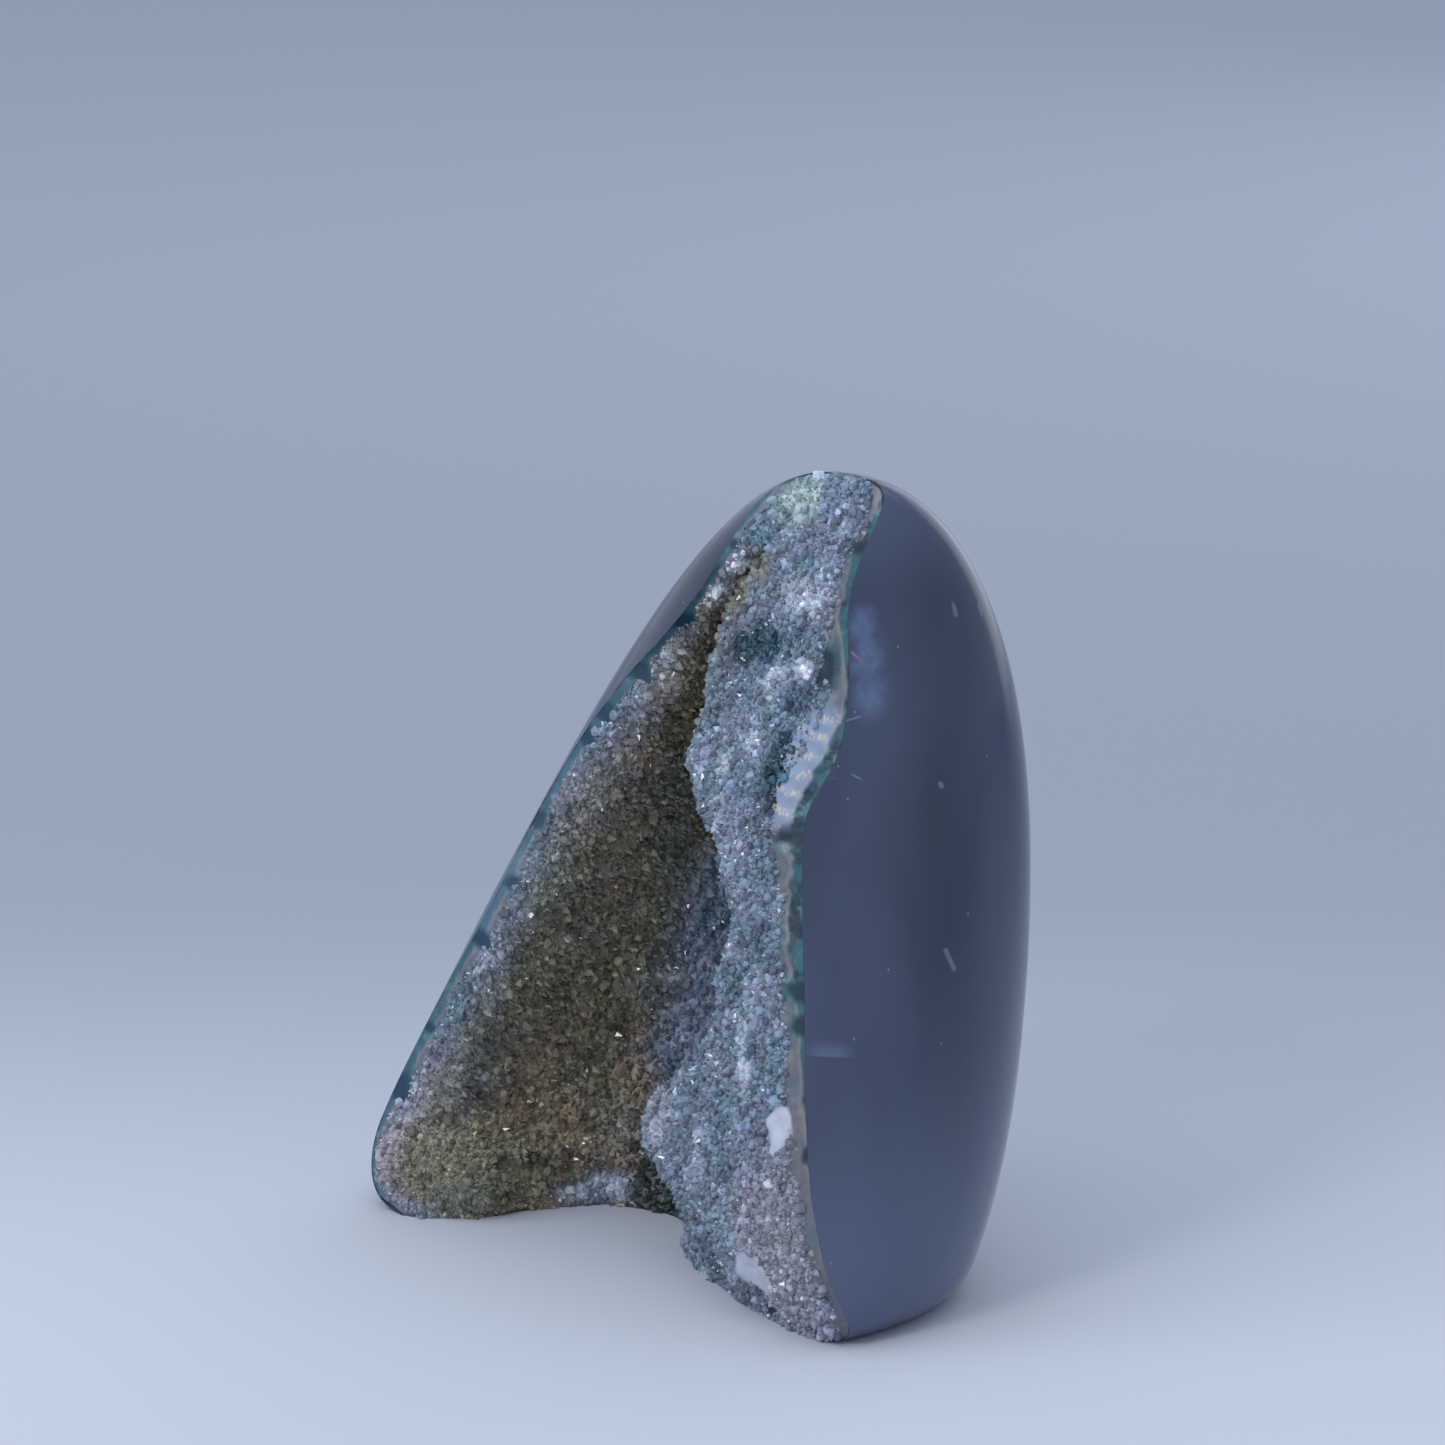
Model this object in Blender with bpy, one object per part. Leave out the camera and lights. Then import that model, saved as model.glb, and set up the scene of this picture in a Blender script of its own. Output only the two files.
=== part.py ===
"""A druzy agate geode: a polished leaning dome, broken open on one side, lined with quartz crystals.

The stone is one growth, kept as two solids: the agate shell, and the crust of small crystals that
lines its hollow and covers the broken face up to the seam. Seen from the front (-Y) the opening is
an arch. A broad leg stands on the right, a sloping arm comes down on the left to a rounded foot,
and between them a narrow crevice widens downwards into the hollow.

The origin is the middle of the resting face, +Z is up. Lengths are in millimetres until a mesh is made.
"""

import bmesh
import bpy
import numpy as np
from mathutils import Vector

MM = 0.001
COLLECTION = "druzy_geode"
# The middle of the stone's box, in the coordinates that the dimensions below are given in
MIDDLE = (1.83, -2.56)

# The dome: where its top is, and how far it reaches from there to each side
HEIGHT = 72.4
APEX = (20.4, -6.4)
RIGHT_REACH = 13.4
LEFT_REACH = 52.7
BACK_REACH = 18.4
FRONT_REACH = 26.1
# A side's reach grows by this much, in proportion, up to the top
RIGHT_GROWTH = -0.5
LEFT_GROWTH = 3.9
BACK_GROWTH = 14.8
FRONT_GROWTH = -23.9
# A high power keeps a side upright for longer before it rounds over to the top
RIGHT_POWER = 4.0
LEFT_POWER = 1.03
BACK_POWER = 1.35
FRONT_POWER = 1.07
ROUNDNESS = 2.2
# The rounded foot: how high the rounding starts, and how far it draws in at the floor
FOOT_HEIGHT = 3.0
FOOT_WIDTH = 3.0
RIGHT_FOOT_HEIGHT = 22.0
RIGHT_FOOT_WIDTH = 4.5
LEFT_FOOT_HEIGHT = 8.0
LEFT_FOOT_WIDTH = 7.0

# The heights at which the values of the broken face and of the hollow are given
LEVELS = (0.0, 7.0, 12.0, 20.0, 30.0, 38.0, 44.0, 50.0, 56.0, 61.0, 66.0, 72.0)

# The broken face leans back. Its right and left edges wave: how far behind the leaning plane
# each edge is, level by level
LEAN = 0.176
FACE_SET_BACK = -19.2
RIGHT_EDGE = (4.4, 0.0, -1.3, -1.8, -1.5, -1.2, -0.8, 0.4, 0.7, 0.6, 0.8, 1.6)
LEFT_EDGE = (1.2, 1.2, 0.5, 0.6, 0.9, 2.9, 2.9, 2.0, 1.0, 0.8, 1.1, 1.8)

# The hollow, level by level: its two lips across the face, how far they sit behind the face,
# and how deep the hollow goes
RIGHT_LIP = (3.0, 4.0, 1.5, 7.5, 11.5, 10.0, 6.0, 4.5, 5.0, 8.0, 12.5, 15.5)
RIGHT_LIP_BACK = (8.5, 8.4, 8.4, 7.8, 5.7, 4.0, 2.8, 3.3, 2.8, 2.3, 1.3, 0.2)
LEFT_LIP = (-18.5, -20.0, -21.0, -18.0, -13.5, -9.5, -6.0, -2.5, 0.3, 4.0, 11.0, 15.0)
LEFT_LIP_BACK = (5.0, 3.5, 3.0, 2.8, 2.8, 2.8, 2.6, 2.4, 2.2, 1.6, 0.6, 0.2)
HOLLOW_DEPTH = (16.7, 20.4, 23.6, 26.1, 25.6, 24.0, 21.0, 16.6, 11.0, 6.0, 1.7, 0.3)
# How hard the bands curve in to the lips, and how square the hollow's half ellipse is
RIGHT_BAND_CURVE = 1.6
LEFT_BAND_CURVE = 1.3
POCKET_CURVE = 0.9
BAND_SAMPLES = 41
POCKET_SAMPLES = 81
ROW_SMOOTHING = 10
LEVEL_SMOOTHING = 2
NORMAL_SMOOTHING = 2

# The block that cuts the opening reaches this far beyond the face at its sides, in front, below and above
BLOCK_SIDE = 60.0
BLOCK_FRONT = -70.0
BLOCK_BELOW = 8.0
BLOCK_ABOVE = 6.0

# The crust of crystals
GAP = 0.3
RIM_WIDTH = 0.8
CRUST_BOTTOM = 0.3
CRUST_TOP = 71.0
CRUST_EDGE = 0.6
CRUST_THICKNESS = 1.4
LEAST_THICKNESS = 0.4
EDGE_SHARE = 0.12
CREVICE_THICKNESS = 0.9
CREVICE_FROM = 46.0
CREVICE_TO = 54.0
CRYSTAL_HEIGHT = (0.27, 0.83)
TALL_CRYSTAL_HEIGHT = (1.0, 1.5)
TALL_SHARE = 0.08
CRYSTAL_LEAN = 0.45
# How far the crust's points stray along it, in parts of a cell, and out of it
STRAY = 0.3
DENT = (-0.12, 0.25)
# How much of the crust's roughness, and of its crystals' height, a smooth place takes away
SMOOTH_CALM = 0.8
SMOOTH_LOW = 0.85
CRUST_COLUMNS = 38
CRUST_ROWS = 36
DOME_SIDES = 56
DOME_RINGS = 26
FOOT_RINGS = 4
RING_CROWDING = 1.7
SEED = 12

# Lumps on the crust: across, up, radius, height. Each falls off as a bell curve
LUMP_FALL = 1.4
LUMPS = (
    (-0.5, 13.0, 4.5, 2.2),
    (5.5, 46.0, 2.6, 1.3),
    (7.0, 52.5, 2.2, 0.8),
    (17.5, 4.5, 2.2, 1.0),
    (20.0, 17.5, 1.9, 1.1),
    (12.0, 27.0, 3.0, 0.9),
    (13.0, 41.0, 2.6, -0.8),
    (16.5, 60.5, 3.2, 0.7),
    (-17.5, 4.0, 4.5, 2.0),
    (-25.5, 5.0, 3.2, 1.4),
    (-20.5, 12.5, 2.6, 1.0),
    (-17.0, 27.0, 2.4, 0.9),
    (-10.5, 40.0, 2.4, 1.0),
    (-3.0, 51.0, 1.9, 0.8),
)
# Smooth places with no crystals: across, up, half width, half height. Their borders are soft
PATCH_BORDER = 1.25
PATCH_SOFTNESS = 0.5
SMOOTH_PATCHES = (
    (20.5, 48.0, 3.0, 5.5),
    (18.0, 67.0, 6.0, 3.6),
)


def ease(t):
    """0 below 0, 1 above 1, and a soft step between."""
    t = np.clip(t, 0.0, 1.0)
    return t * t * (3.0 - 2.0 * t)


def foot_rounding(z, height, width):
    """How far a rounded bottom edge draws in at height z: a quarter of an ellipse."""
    low = np.clip(1.0 - z / height, 0.0, 1.0)
    return width * (1.0 - np.sqrt(1.0 - low**2))


def dome_section(z):
    """Centre and half sizes of the dome's level section at height z."""
    h = np.clip(z / HEIGHT, 0.0, 1.0)
    right = APEX[0] + (RIGHT_REACH + RIGHT_GROWTH * h) * np.sqrt(1.0 - h**RIGHT_POWER)
    left = APEX[0] - (LEFT_REACH + LEFT_GROWTH * h) * np.sqrt(1.0 - h**LEFT_POWER)
    back = APEX[1] + (BACK_REACH + BACK_GROWTH * h) * np.sqrt(1.0 - h**BACK_POWER)
    front = APEX[1] - (FRONT_REACH + FRONT_GROWTH * h) * np.sqrt(1.0 - h**FRONT_POWER)
    rounding = foot_rounding(z, FOOT_HEIGHT, FOOT_WIDTH)
    right = right - foot_rounding(z, RIGHT_FOOT_HEIGHT, RIGHT_FOOT_WIDTH) - rounding / 2.0
    left = left + foot_rounding(z, LEFT_FOOT_HEIGHT, LEFT_FOOT_WIDTH)
    return (
        (right + left) / 2.0,
        (back + front) / 2.0,
        (right - left) / 2.0,
        (back - front) / 2.0 - rounding,
    )


def dome_side(z, y, side):
    """Where the dome's right (+1) or left (-1) side is at height z and depth y."""
    mid_x, mid_y, half_x, half_y = dome_section(z)
    part = np.clip(np.abs((y - mid_y) / np.maximum(half_y, 0.01)), 0.0, 1.0)
    return mid_x + side * half_x * (1.0 - part**ROUNDNESS) ** (1.0 / ROUNDNESS)


def face_right(z):
    """Depth of the broken face at its right edge."""
    return FACE_SET_BACK + LEAN * z + level_value(z, RIGHT_EDGE)


def face_left(z):
    """Depth of the broken face at its left edge."""
    return FACE_SET_BACK + LEAN * z + level_value(z, LEFT_EDGE)


def level_value(z, values):
    """One of the hollow's level values at height z, as a smooth curve through the levels."""
    slopes = np.gradient(np.array(values), np.array(LEVELS))
    place = np.clip(np.searchsorted(LEVELS, z, side="right") - 1, 0, len(LEVELS) - 2)
    low = np.take(LEVELS, place)
    step = np.take(LEVELS, place + 1) - low
    t = np.clip((z - low) / step, 0.0, 1.0)
    start = np.take(values, place)
    end = np.take(values, place + 1)
    return (
        start * (1.0 - t) ** 2 * (1.0 + 2.0 * t)
        + end * t**2 * (3.0 - 2.0 * t)
        + np.take(slopes, place) * step * t * (1.0 - t) ** 2
        - np.take(slopes, place + 1) * step * t**2 * (1.0 - t)
    )


def blurred(points, axis, times):
    """Points averaged with their neighbours along one axis, the two ends held."""
    points = np.moveaxis(points, axis, 0).copy()
    for _ in range(times):
        points[1:-1] = (points[:-2] + 2.0 * points[1:-1] + points[2:]) / 4.0
    return np.moveaxis(points, 0, axis)


def wall_grid(columns, rows):
    """The rock wall of the hollow as a grid: rows go up, columns from the right edge to the left.

    Each row is the face's right band, half an ellipse through the hollow, and the left band.
    """
    z = CRUST_BOTTOM + (CRUST_TOP - CRUST_BOTTOM) * np.linspace(0.0, 1.0, rows + 1)
    right_y = face_right(z)
    left_y = face_left(z)
    right_x = dome_side(z, right_y, 1.0) - RIM_WIDTH
    left_x = dome_side(z, left_y, -1.0) + RIM_WIDTH
    right_lip = level_value(z, RIGHT_LIP)
    left_lip = level_value(z, LEFT_LIP)
    right_lip_y = right_y + level_value(z, RIGHT_LIP_BACK)
    left_lip_y = left_y + level_value(z, LEFT_LIP_BACK)
    bottom = (right_y + left_y) / 2.0 + level_value(z, HOLLOW_DEPTH)

    t = np.linspace(0.0, 1.0, BAND_SAMPLES)[None, :]
    band_right = np.stack([
        right_x[:, None] + (right_lip - right_x)[:, None] * t,
        right_y[:, None] + (right_lip_y - right_y)[:, None] * t**RIGHT_BAND_CURVE,
    ], -1)
    band_left = np.stack([
        left_lip[:, None] + (left_x - left_lip)[:, None] * t,
        left_y[:, None] + (left_lip_y - left_y)[:, None] * (1.0 - t) ** LEFT_BAND_CURVE,
    ], -1)
    turn = np.pi * np.linspace(0.0, 1.0, POCKET_SAMPLES)[None, :]
    across = (1.0 - np.cos(turn)) / 2.0
    lip_y = right_lip_y[:, None] + (left_lip_y - right_lip_y)[:, None] * across
    pocket = np.stack([
        right_lip[:, None] + (left_lip - right_lip)[:, None] * across,
        lip_y + (bottom[:, None] - lip_y) * np.sin(turn) ** POCKET_CURVE,
    ], -1)
    row = np.concatenate([band_right, pocket[:, 1:-1], band_left], 1)
    row = blurred(row, 1, ROW_SMOOTHING)

    # The same number of columns on every row, spaced evenly along it
    length = np.cumsum(np.hypot(*np.moveaxis(np.diff(row, axis=1), -1, 0)), axis=1)
    length = np.concatenate([np.zeros((rows + 1, 1)), length], 1)
    grid = np.zeros((rows + 1, columns + 1, 3))
    for i in range(rows + 1):
        at = np.linspace(0.0, length[i, -1], columns + 1)
        grid[i, :, 0] = np.interp(at, length[i], row[i, :, 0])
        grid[i, :, 1] = np.interp(at, length[i], row[i, :, 1])
        grid[i, :, 2] = z[i]
    return blurred(grid, 0, LEVEL_SMOOTHING)


def grid_normals(grid):
    """Unit normals of a grid of points, towards the open side of the hollow."""
    along = np.gradient(grid, axis=1)
    up = np.gradient(grid, axis=0)
    normal = np.cross(along, up)
    normal /= np.linalg.norm(normal, axis=-1, keepdims=True)
    return np.where(normal[0, 0, 1] > 0.0, -normal, normal)


def crust_thickness(grid):
    """How thick the crust is at each point: thin at its edges and in the crevice."""
    rows, columns = grid.shape[:2]
    u = np.linspace(0.0, 1.0, columns)[None, :]
    edge = ease(np.minimum(u, 1.0 - u) / EDGE_SHARE)
    crevice = ease((grid[..., 2] - CREVICE_FROM) / (CREVICE_TO - CREVICE_FROM))
    inside = CRUST_THICKNESS + (CREVICE_THICKNESS - CRUST_THICKNESS) * crevice
    return CRUST_EDGE + (inside - CRUST_EDGE) * edge


def lump_height(grid):
    """Sum of the rounded lumps at each point of the front of the crust."""
    total = np.zeros(grid.shape[:2])
    for x, z, radius, height in LUMPS:
        distance = np.hypot(grid[..., 0] - x, grid[..., 2] - z) / radius
        total += height * np.exp(-LUMP_FALL * distance**2)
    return total


def smoothness(points):
    """1 in the smooth places, 0 where crystals grow."""
    most = np.zeros(points.shape[:-1])
    for x, z, half_x, half_z in SMOOTH_PATCHES:
        distance = np.hypot((points[..., 0] - x) / half_x, (points[..., 2] - z) / half_z)
        most = np.maximum(most, ease((PATCH_BORDER - distance) / PATCH_SOFTNESS))
    return most


def add_grid(mesh, points):
    """A grid primitive, moved onto a grid of points. Gives its vertices by row and column."""
    rows, columns = points.shape[:2]
    made = bmesh.ops.create_grid(mesh, x_segments=columns - 1, y_segments=rows - 1, size=1.0)
    table = {}
    for vertex in made["verts"]:
        column = round((vertex.co.x + 1.0) / 2.0 * (columns - 1))
        row = round((vertex.co.y + 1.0) / 2.0 * (rows - 1))
        vertex.co = points[row, column] * MM
        table[row, column] = vertex
    return table


def border(table, rows, columns):
    """The vertices round the edge of a grid, in order."""
    around = [(0, c) for c in range(columns)]
    around += [(r, columns) for r in range(rows)]
    around += [(rows, c) for c in range(columns, 0, -1)]
    around += [(r, 0) for r in range(rows, 0, -1)]
    return [table[place] for place in around]


def make_object(name, mesh, collection, material=None):
    """A mesh object with one material, in a collection, moved so that the origin is in its middle."""
    bmesh.ops.translate(mesh, vec=(-MIDDLE[0] * MM, -MIDDLE[1] * MM, 0.0), verts=mesh.verts)
    bmesh.ops.recalc_face_normals(mesh, faces=mesh.faces)
    data = bpy.data.meshes.new(name)
    mesh.to_mesh(data)
    mesh.free()
    thing = bpy.data.objects.new(name, data)
    if material:
        data.materials.append(material)
    collection.objects.link(thing)
    return thing


def make_material(name, colour, roughness):
    """A plain Principled finish."""
    material = bpy.data.materials.new(name)
    material.use_nodes = True
    shader = material.node_tree.nodes["Principled BSDF"]
    shader.inputs["Base Color"].default_value = (*colour, 1.0)
    shader.inputs["Roughness"].default_value = roughness
    shader.inputs["Metallic"].default_value = 0.0
    return material


def dome_mesh():
    """A sphere pressed flat below and drawn out to the dome's sections above."""
    mesh = bmesh.new()
    bmesh.ops.create_uvsphere(mesh, u_segments=DOME_SIDES, v_segments=DOME_RINGS, radius=1.0)
    for vertex in mesh.verts:
        x, y, z = vertex.co
        ring = round(np.arccos(np.clip(-z, -1.0, 1.0)) / np.pi * DOME_RINGS)
        if ring == 0:
            mid_x, mid_y, _, _ = dome_section(0.0)
            vertex.co = (mid_x * MM, mid_y * MM, 0.0)
            continue
        if ring <= FOOT_RINGS:
            angle = (ring - 1) / (FOOT_RINGS - 1) * np.pi / 2.0
            level = FOOT_HEIGHT * (1.0 - np.cos(angle))
        else:
            t = (ring - FOOT_RINGS) / (DOME_RINGS - FOOT_RINGS)
            level = FOOT_HEIGHT + (HEIGHT - FOOT_HEIGHT) * (1.0 - (1.0 - t) ** RING_CROWDING)
        mid_x, mid_y, half_x, half_y = dome_section(level)
        spread = max(np.hypot(x, y), 1e-9)
        across = np.sign(x) * abs(x / spread) ** (2.0 / ROUNDNESS)
        deep = np.sign(y) * abs(y / spread) ** (2.0 / ROUNDNESS)
        vertex.co = ((mid_x + half_x * across) * MM, (mid_y + half_y * deep) * MM, level * MM)
    return mesh


def cutter_mesh():
    """All that is in front of the broken face and in the hollow, as one closed block."""
    wall = wall_grid(CRUST_COLUMNS // 2, CRUST_ROWS // 2)
    rows, columns = wall.shape[:2]
    block = np.zeros((rows + 2, columns + 2, 3))
    block[1:-1, 1:-1] = wall
    block[1:-1, 0] = wall[:, 0] + (BLOCK_SIDE, 0.0, 0.0)
    block[1:-1, -1] = wall[:, -1] - (BLOCK_SIDE, 0.0, 0.0)
    block[0] = block[1] - (0.0, 0.0, BLOCK_BELOW)
    block[-1] = block[-2]
    block[-1, :, 1] = face_right(HEIGHT) + LEAN * BLOCK_ABOVE
    block[-1, :, 2] = HEIGHT + BLOCK_ABOVE
    mesh = bmesh.new()
    add_grid(mesh, block)
    bmesh.ops.triangulate(mesh, faces=mesh.faces, quad_method="FIXED")
    edges = [edge for edge in mesh.edges if edge.is_boundary]
    grown = bmesh.ops.extrude_edge_only(mesh, edges=edges)
    front = [item for item in grown["geom"] if isinstance(item, bmesh.types.BMVert)]
    for vertex in front:
        vertex.co.y = BLOCK_FRONT * MM
    bmesh.ops.holes_fill(mesh, edges=mesh.edges, sides=0)
    return mesh


def crust_mesh():
    """The crust: a coarse back that follows the rock, and a front of small pointed crystals."""
    rng = np.random.RandomState(SEED)
    wall = wall_grid(CRUST_COLUMNS // 2, CRUST_ROWS // 2)
    back = wall + GAP * grid_normals(wall)
    back[..., 2] = np.clip(back[..., 2], CRUST_BOTTOM, None)
    back[0, :, 2] = CRUST_BOTTOM

    fine = wall_grid(CRUST_COLUMNS, CRUST_ROWS)
    normals = blurred(blurred(grid_normals(fine), 0, NORMAL_SMOOTHING), 1, NORMAL_SMOOTHING)
    thickness = GAP + crust_thickness(fine) + lump_height(fine)
    front = fine + normals * np.maximum(thickness, GAP + LEAST_THICKNESS)[..., None]
    inner = (CRUST_ROWS - 1, CRUST_COLUMNS - 1)
    rough = 1.0 - SMOOTH_CALM * smoothness(front[1:-1, 1:-1])
    shift = rng.uniform(-STRAY, STRAY, (*inner, 2)) * rough[..., None]
    step_along = (front[1:-1, 2:] - front[1:-1, :-2]) / 2.0
    step_up = (front[2:, 1:-1] - front[:-2, 1:-1]) / 2.0
    dent = rng.uniform(*DENT, inner) * rough
    front[1:-1, 1:-1] += step_along * shift[..., :1] + step_up * shift[..., 1:]
    front[1:-1, 1:-1] += normals[1:-1, 1:-1] * dent[..., None]
    front[..., 2] = np.clip(front[..., 2], CRUST_BOTTOM, None)
    front[0, :, 2] = CRUST_BOTTOM

    mesh = bmesh.new()
    front_table = add_grid(mesh, front)
    tops = bmesh.ops.poke(mesh, faces=mesh.faces[:], offset=0.0, center_mode="MEAN")
    grow_crystals(tops["verts"], rng)
    back_table = add_grid(mesh, back)
    back_faces = [face for face in mesh.faces if len(face.verts) == 4]
    bmesh.ops.triangulate(mesh, faces=back_faces, quad_method="FIXED")

    fine_border = border(front_table, CRUST_ROWS, CRUST_COLUMNS)
    coarse_border = border(back_table, CRUST_ROWS // 2, CRUST_COLUMNS // 2)
    count = len(coarse_border)
    for k in range(count):
        a, b, c = (fine_border[(2 * k + j) % (2 * count)] for j in range(3))
        d = coarse_border[(k + 1) % count]
        e = coarse_border[k]
        mesh.faces.new((a, b, e))
        mesh.faces.new((b, d, e))
        mesh.faces.new((b, c, d))
    return mesh


def grow_crystals(tips, rng):
    """Raises the middle of each face of the crust to a crystal's point, a few of them tall."""
    for tip in tips:
        tip.normal_update()
    for tip in tips:
        place = np.array([tip.co[:]]) / MM
        height = rng.uniform(*CRYSTAL_HEIGHT)
        if rng.uniform() < TALL_SHARE:
            height = rng.uniform(*TALL_CRYSTAL_HEIGHT)
        height *= 1.0 - SMOOTH_LOW * smoothness(place)[0]
        lean = np.array(tip.normal) + rng.uniform(-CRYSTAL_LEAN, CRYSTAL_LEAN, 3)
        tip.co = tip.co + Vector(lean * height * MM)
        tip.co.z = max(tip.co.z, CRUST_BOTTOM * MM)


def main():
    for thing in list(bpy.data.objects):
        bpy.data.objects.remove(thing, do_unlink=True)
    parts = bpy.data.collections.new(COLLECTION)
    cutters = bpy.data.collections.new(COLLECTION + "_cutters")
    bpy.context.scene.collection.children.link(parts)
    bpy.context.scene.collection.children.link(cutters)

    agate = make_material("polished_agate", (0.055, 0.08, 0.14), 0.14)
    quartz = make_material("druzy_quartz", (0.36, 0.40, 0.44), 0.22)

    shell = make_object("agate_shell", dome_mesh(), parts, agate)
    opening = make_object("opening_cutter", cutter_mesh(), cutters)
    opening.hide_render = True
    opening.display_type = "WIRE"
    cut = shell.modifiers.new("opening", "BOOLEAN")
    cut.operation = "DIFFERENCE"
    cut.solver = "EXACT"
    cut.object = opening
    shell.data.shade_smooth()

    make_object("druzy_crust", crust_mesh(), parts, quartz)


main()
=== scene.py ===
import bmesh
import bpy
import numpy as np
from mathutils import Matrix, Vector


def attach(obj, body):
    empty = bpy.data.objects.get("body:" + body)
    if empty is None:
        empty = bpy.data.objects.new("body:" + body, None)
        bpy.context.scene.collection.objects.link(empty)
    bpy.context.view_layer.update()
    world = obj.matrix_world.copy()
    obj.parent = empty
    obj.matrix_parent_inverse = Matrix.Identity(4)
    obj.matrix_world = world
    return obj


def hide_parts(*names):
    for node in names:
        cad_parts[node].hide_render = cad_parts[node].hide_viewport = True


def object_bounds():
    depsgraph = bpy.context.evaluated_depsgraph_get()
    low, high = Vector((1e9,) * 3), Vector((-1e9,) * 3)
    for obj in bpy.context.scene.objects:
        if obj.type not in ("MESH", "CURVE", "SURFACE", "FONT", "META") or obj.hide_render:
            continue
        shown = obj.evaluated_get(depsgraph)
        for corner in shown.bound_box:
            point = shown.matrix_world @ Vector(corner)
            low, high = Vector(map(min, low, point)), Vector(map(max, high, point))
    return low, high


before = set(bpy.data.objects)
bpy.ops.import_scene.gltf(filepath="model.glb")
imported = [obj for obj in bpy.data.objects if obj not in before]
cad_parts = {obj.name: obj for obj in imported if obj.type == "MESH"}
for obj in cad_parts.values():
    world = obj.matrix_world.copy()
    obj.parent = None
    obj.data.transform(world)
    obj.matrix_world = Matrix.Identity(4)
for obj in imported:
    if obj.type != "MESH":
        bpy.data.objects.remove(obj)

# A druzy agate geode: a polished leaning dome of slate blue agate, broken open on one side.
# From the outside in, the broken face shows the polished skin's edge, a thin seam of blue-green
# celadonite with dark blobs, a pinkish grey band of chalcedony, and then the sugary quartz crystals,
# which run on into the hollow. Shapes are worked out in millimetres, in the stone's own coordinates,
# and make_piece brings them to the frame.

CAD_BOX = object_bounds()
MM = 0.001
# The middle of the stone's box, in the stone's own coordinates
MIDDLE = np.array((1.83, -2.56, 0.0))
SEED = 41

# The dome, as in the solids
HEIGHT = 72.4
APEX = (20.4, -6.4)
RIGHT_REACH = 13.4
LEFT_REACH = 52.7
BACK_REACH = 18.4
FRONT_REACH = 26.1
RIGHT_GROWTH = -0.5
LEFT_GROWTH = 3.9
BACK_GROWTH = 14.8
FRONT_GROWTH = -23.9
RIGHT_POWER = 4.0
LEFT_POWER = 1.03
BACK_POWER = 1.35
FRONT_POWER = 1.07
ROUNDNESS = 2.2
FOOT_HEIGHT = 3.0
FOOT_WIDTH = 3.0
RIGHT_FOOT_HEIGHT = 22.0
RIGHT_FOOT_WIDTH = 4.5
LEFT_FOOT_HEIGHT = 8.0
LEFT_FOOT_WIDTH = 7.0

# The heights at which the values of the broken face and of the hollow are given
LEVELS = (0.0, 7.0, 12.0, 20.0, 30.0, 38.0, 44.0, 50.0, 56.0, 61.0, 66.0, 72.0)

# The broken face: a leaning plane, and how far behind it the right and left edges are
LEAN = 0.176
FACE_SET_BACK = -19.2
RIGHT_EDGE = (4.4, 0.0, -1.3, -1.8, -1.5, -1.2, -0.8, 0.4, 0.7, 0.6, 0.8, 1.6)
LEFT_EDGE = (1.2, 1.2, 0.5, 0.6, 0.9, 2.9, 2.9, 2.0, 1.0, 0.8, 1.1, 1.8)
FACE_JOIN_FROM = 69.5
FACE_JOIN_TO = 71.5

# The hollow
RIGHT_LIP = (3.0, 4.0, 1.5, 7.5, 11.5, 10.0, 6.0, 4.5, 5.0, 8.0, 12.5, 15.5)
RIGHT_LIP_BACK = (8.5, 8.4, 8.4, 7.8, 5.7, 4.0, 2.8, 3.3, 2.8, 2.3, 1.3, 0.2)
LEFT_LIP = (-18.5, -20.0, -21.0, -18.0, -13.5, -9.5, -6.0, -2.5, 0.3, 4.0, 11.0, 15.0)
LEFT_LIP_BACK = (5.0, 3.5, 3.0, 2.8, 2.8, 2.8, 2.6, 2.4, 2.2, 1.6, 0.6, 0.2)
HOLLOW_DEPTH = (16.7, 20.4, 23.6, 26.1, 25.6, 24.0, 21.0, 16.6, 11.0, 6.0, 1.7, 0.3)
# How far in from the polished edge the stone stays bare of crystals, and how wide the seam is there
RIGHT_BARE = (0.9, 0.9, 1.1, 1.5, 1.9, 2.4, 3.0, 3.2, 2.2, 1.2, 0.9, 0.9)
LEFT_BARE = (1.0, 1.0, 1.1, 1.1, 1.1, 1.1, 1.2, 1.0, 0.9, 0.9, 0.9, 1.0)
RIGHT_SEAM = (-0.7, -0.7, -0.5, -0.1, 0.6, 0.9, 1.1, 0.5, 0.4, 0.6, 0.5, 0.3)
LEFT_SEAM = (0.5, 0.6, 0.6, 0.6, 0.6, 0.6, 0.6, 0.6, 0.5, 0.3, 0.2, 0.1)
# Right of this line the hollow's back wall is clear of the olive stain: heights, and how far across
STAIN_HEIGHTS = (0.0, 13.0, 18.0, 23.0, 32.0, 36.0, 40.0, 46.0)
# At the bottom the edge reaches across to the recess between the left lobe and the right leg, so that the stain's dark
# carries painted shade there
STAIN_EDGE = (-5.0, -13.8, -13.0, -11.5, -8.5, -4.0, 8.0, 22.0)

# The crust of crystals, as in the solids
CRUST_EDGE = 0.8
CRUST_THICKNESS = 1.15
CREVICE_THICKNESS = 0.8
CREVICE_FROM = 46.0
EDGE_RISE = 2.2
# The crust stays this far behind the front of the box, so that its crystals have room
CRYSTAL_ROOM = 0.4
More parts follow.
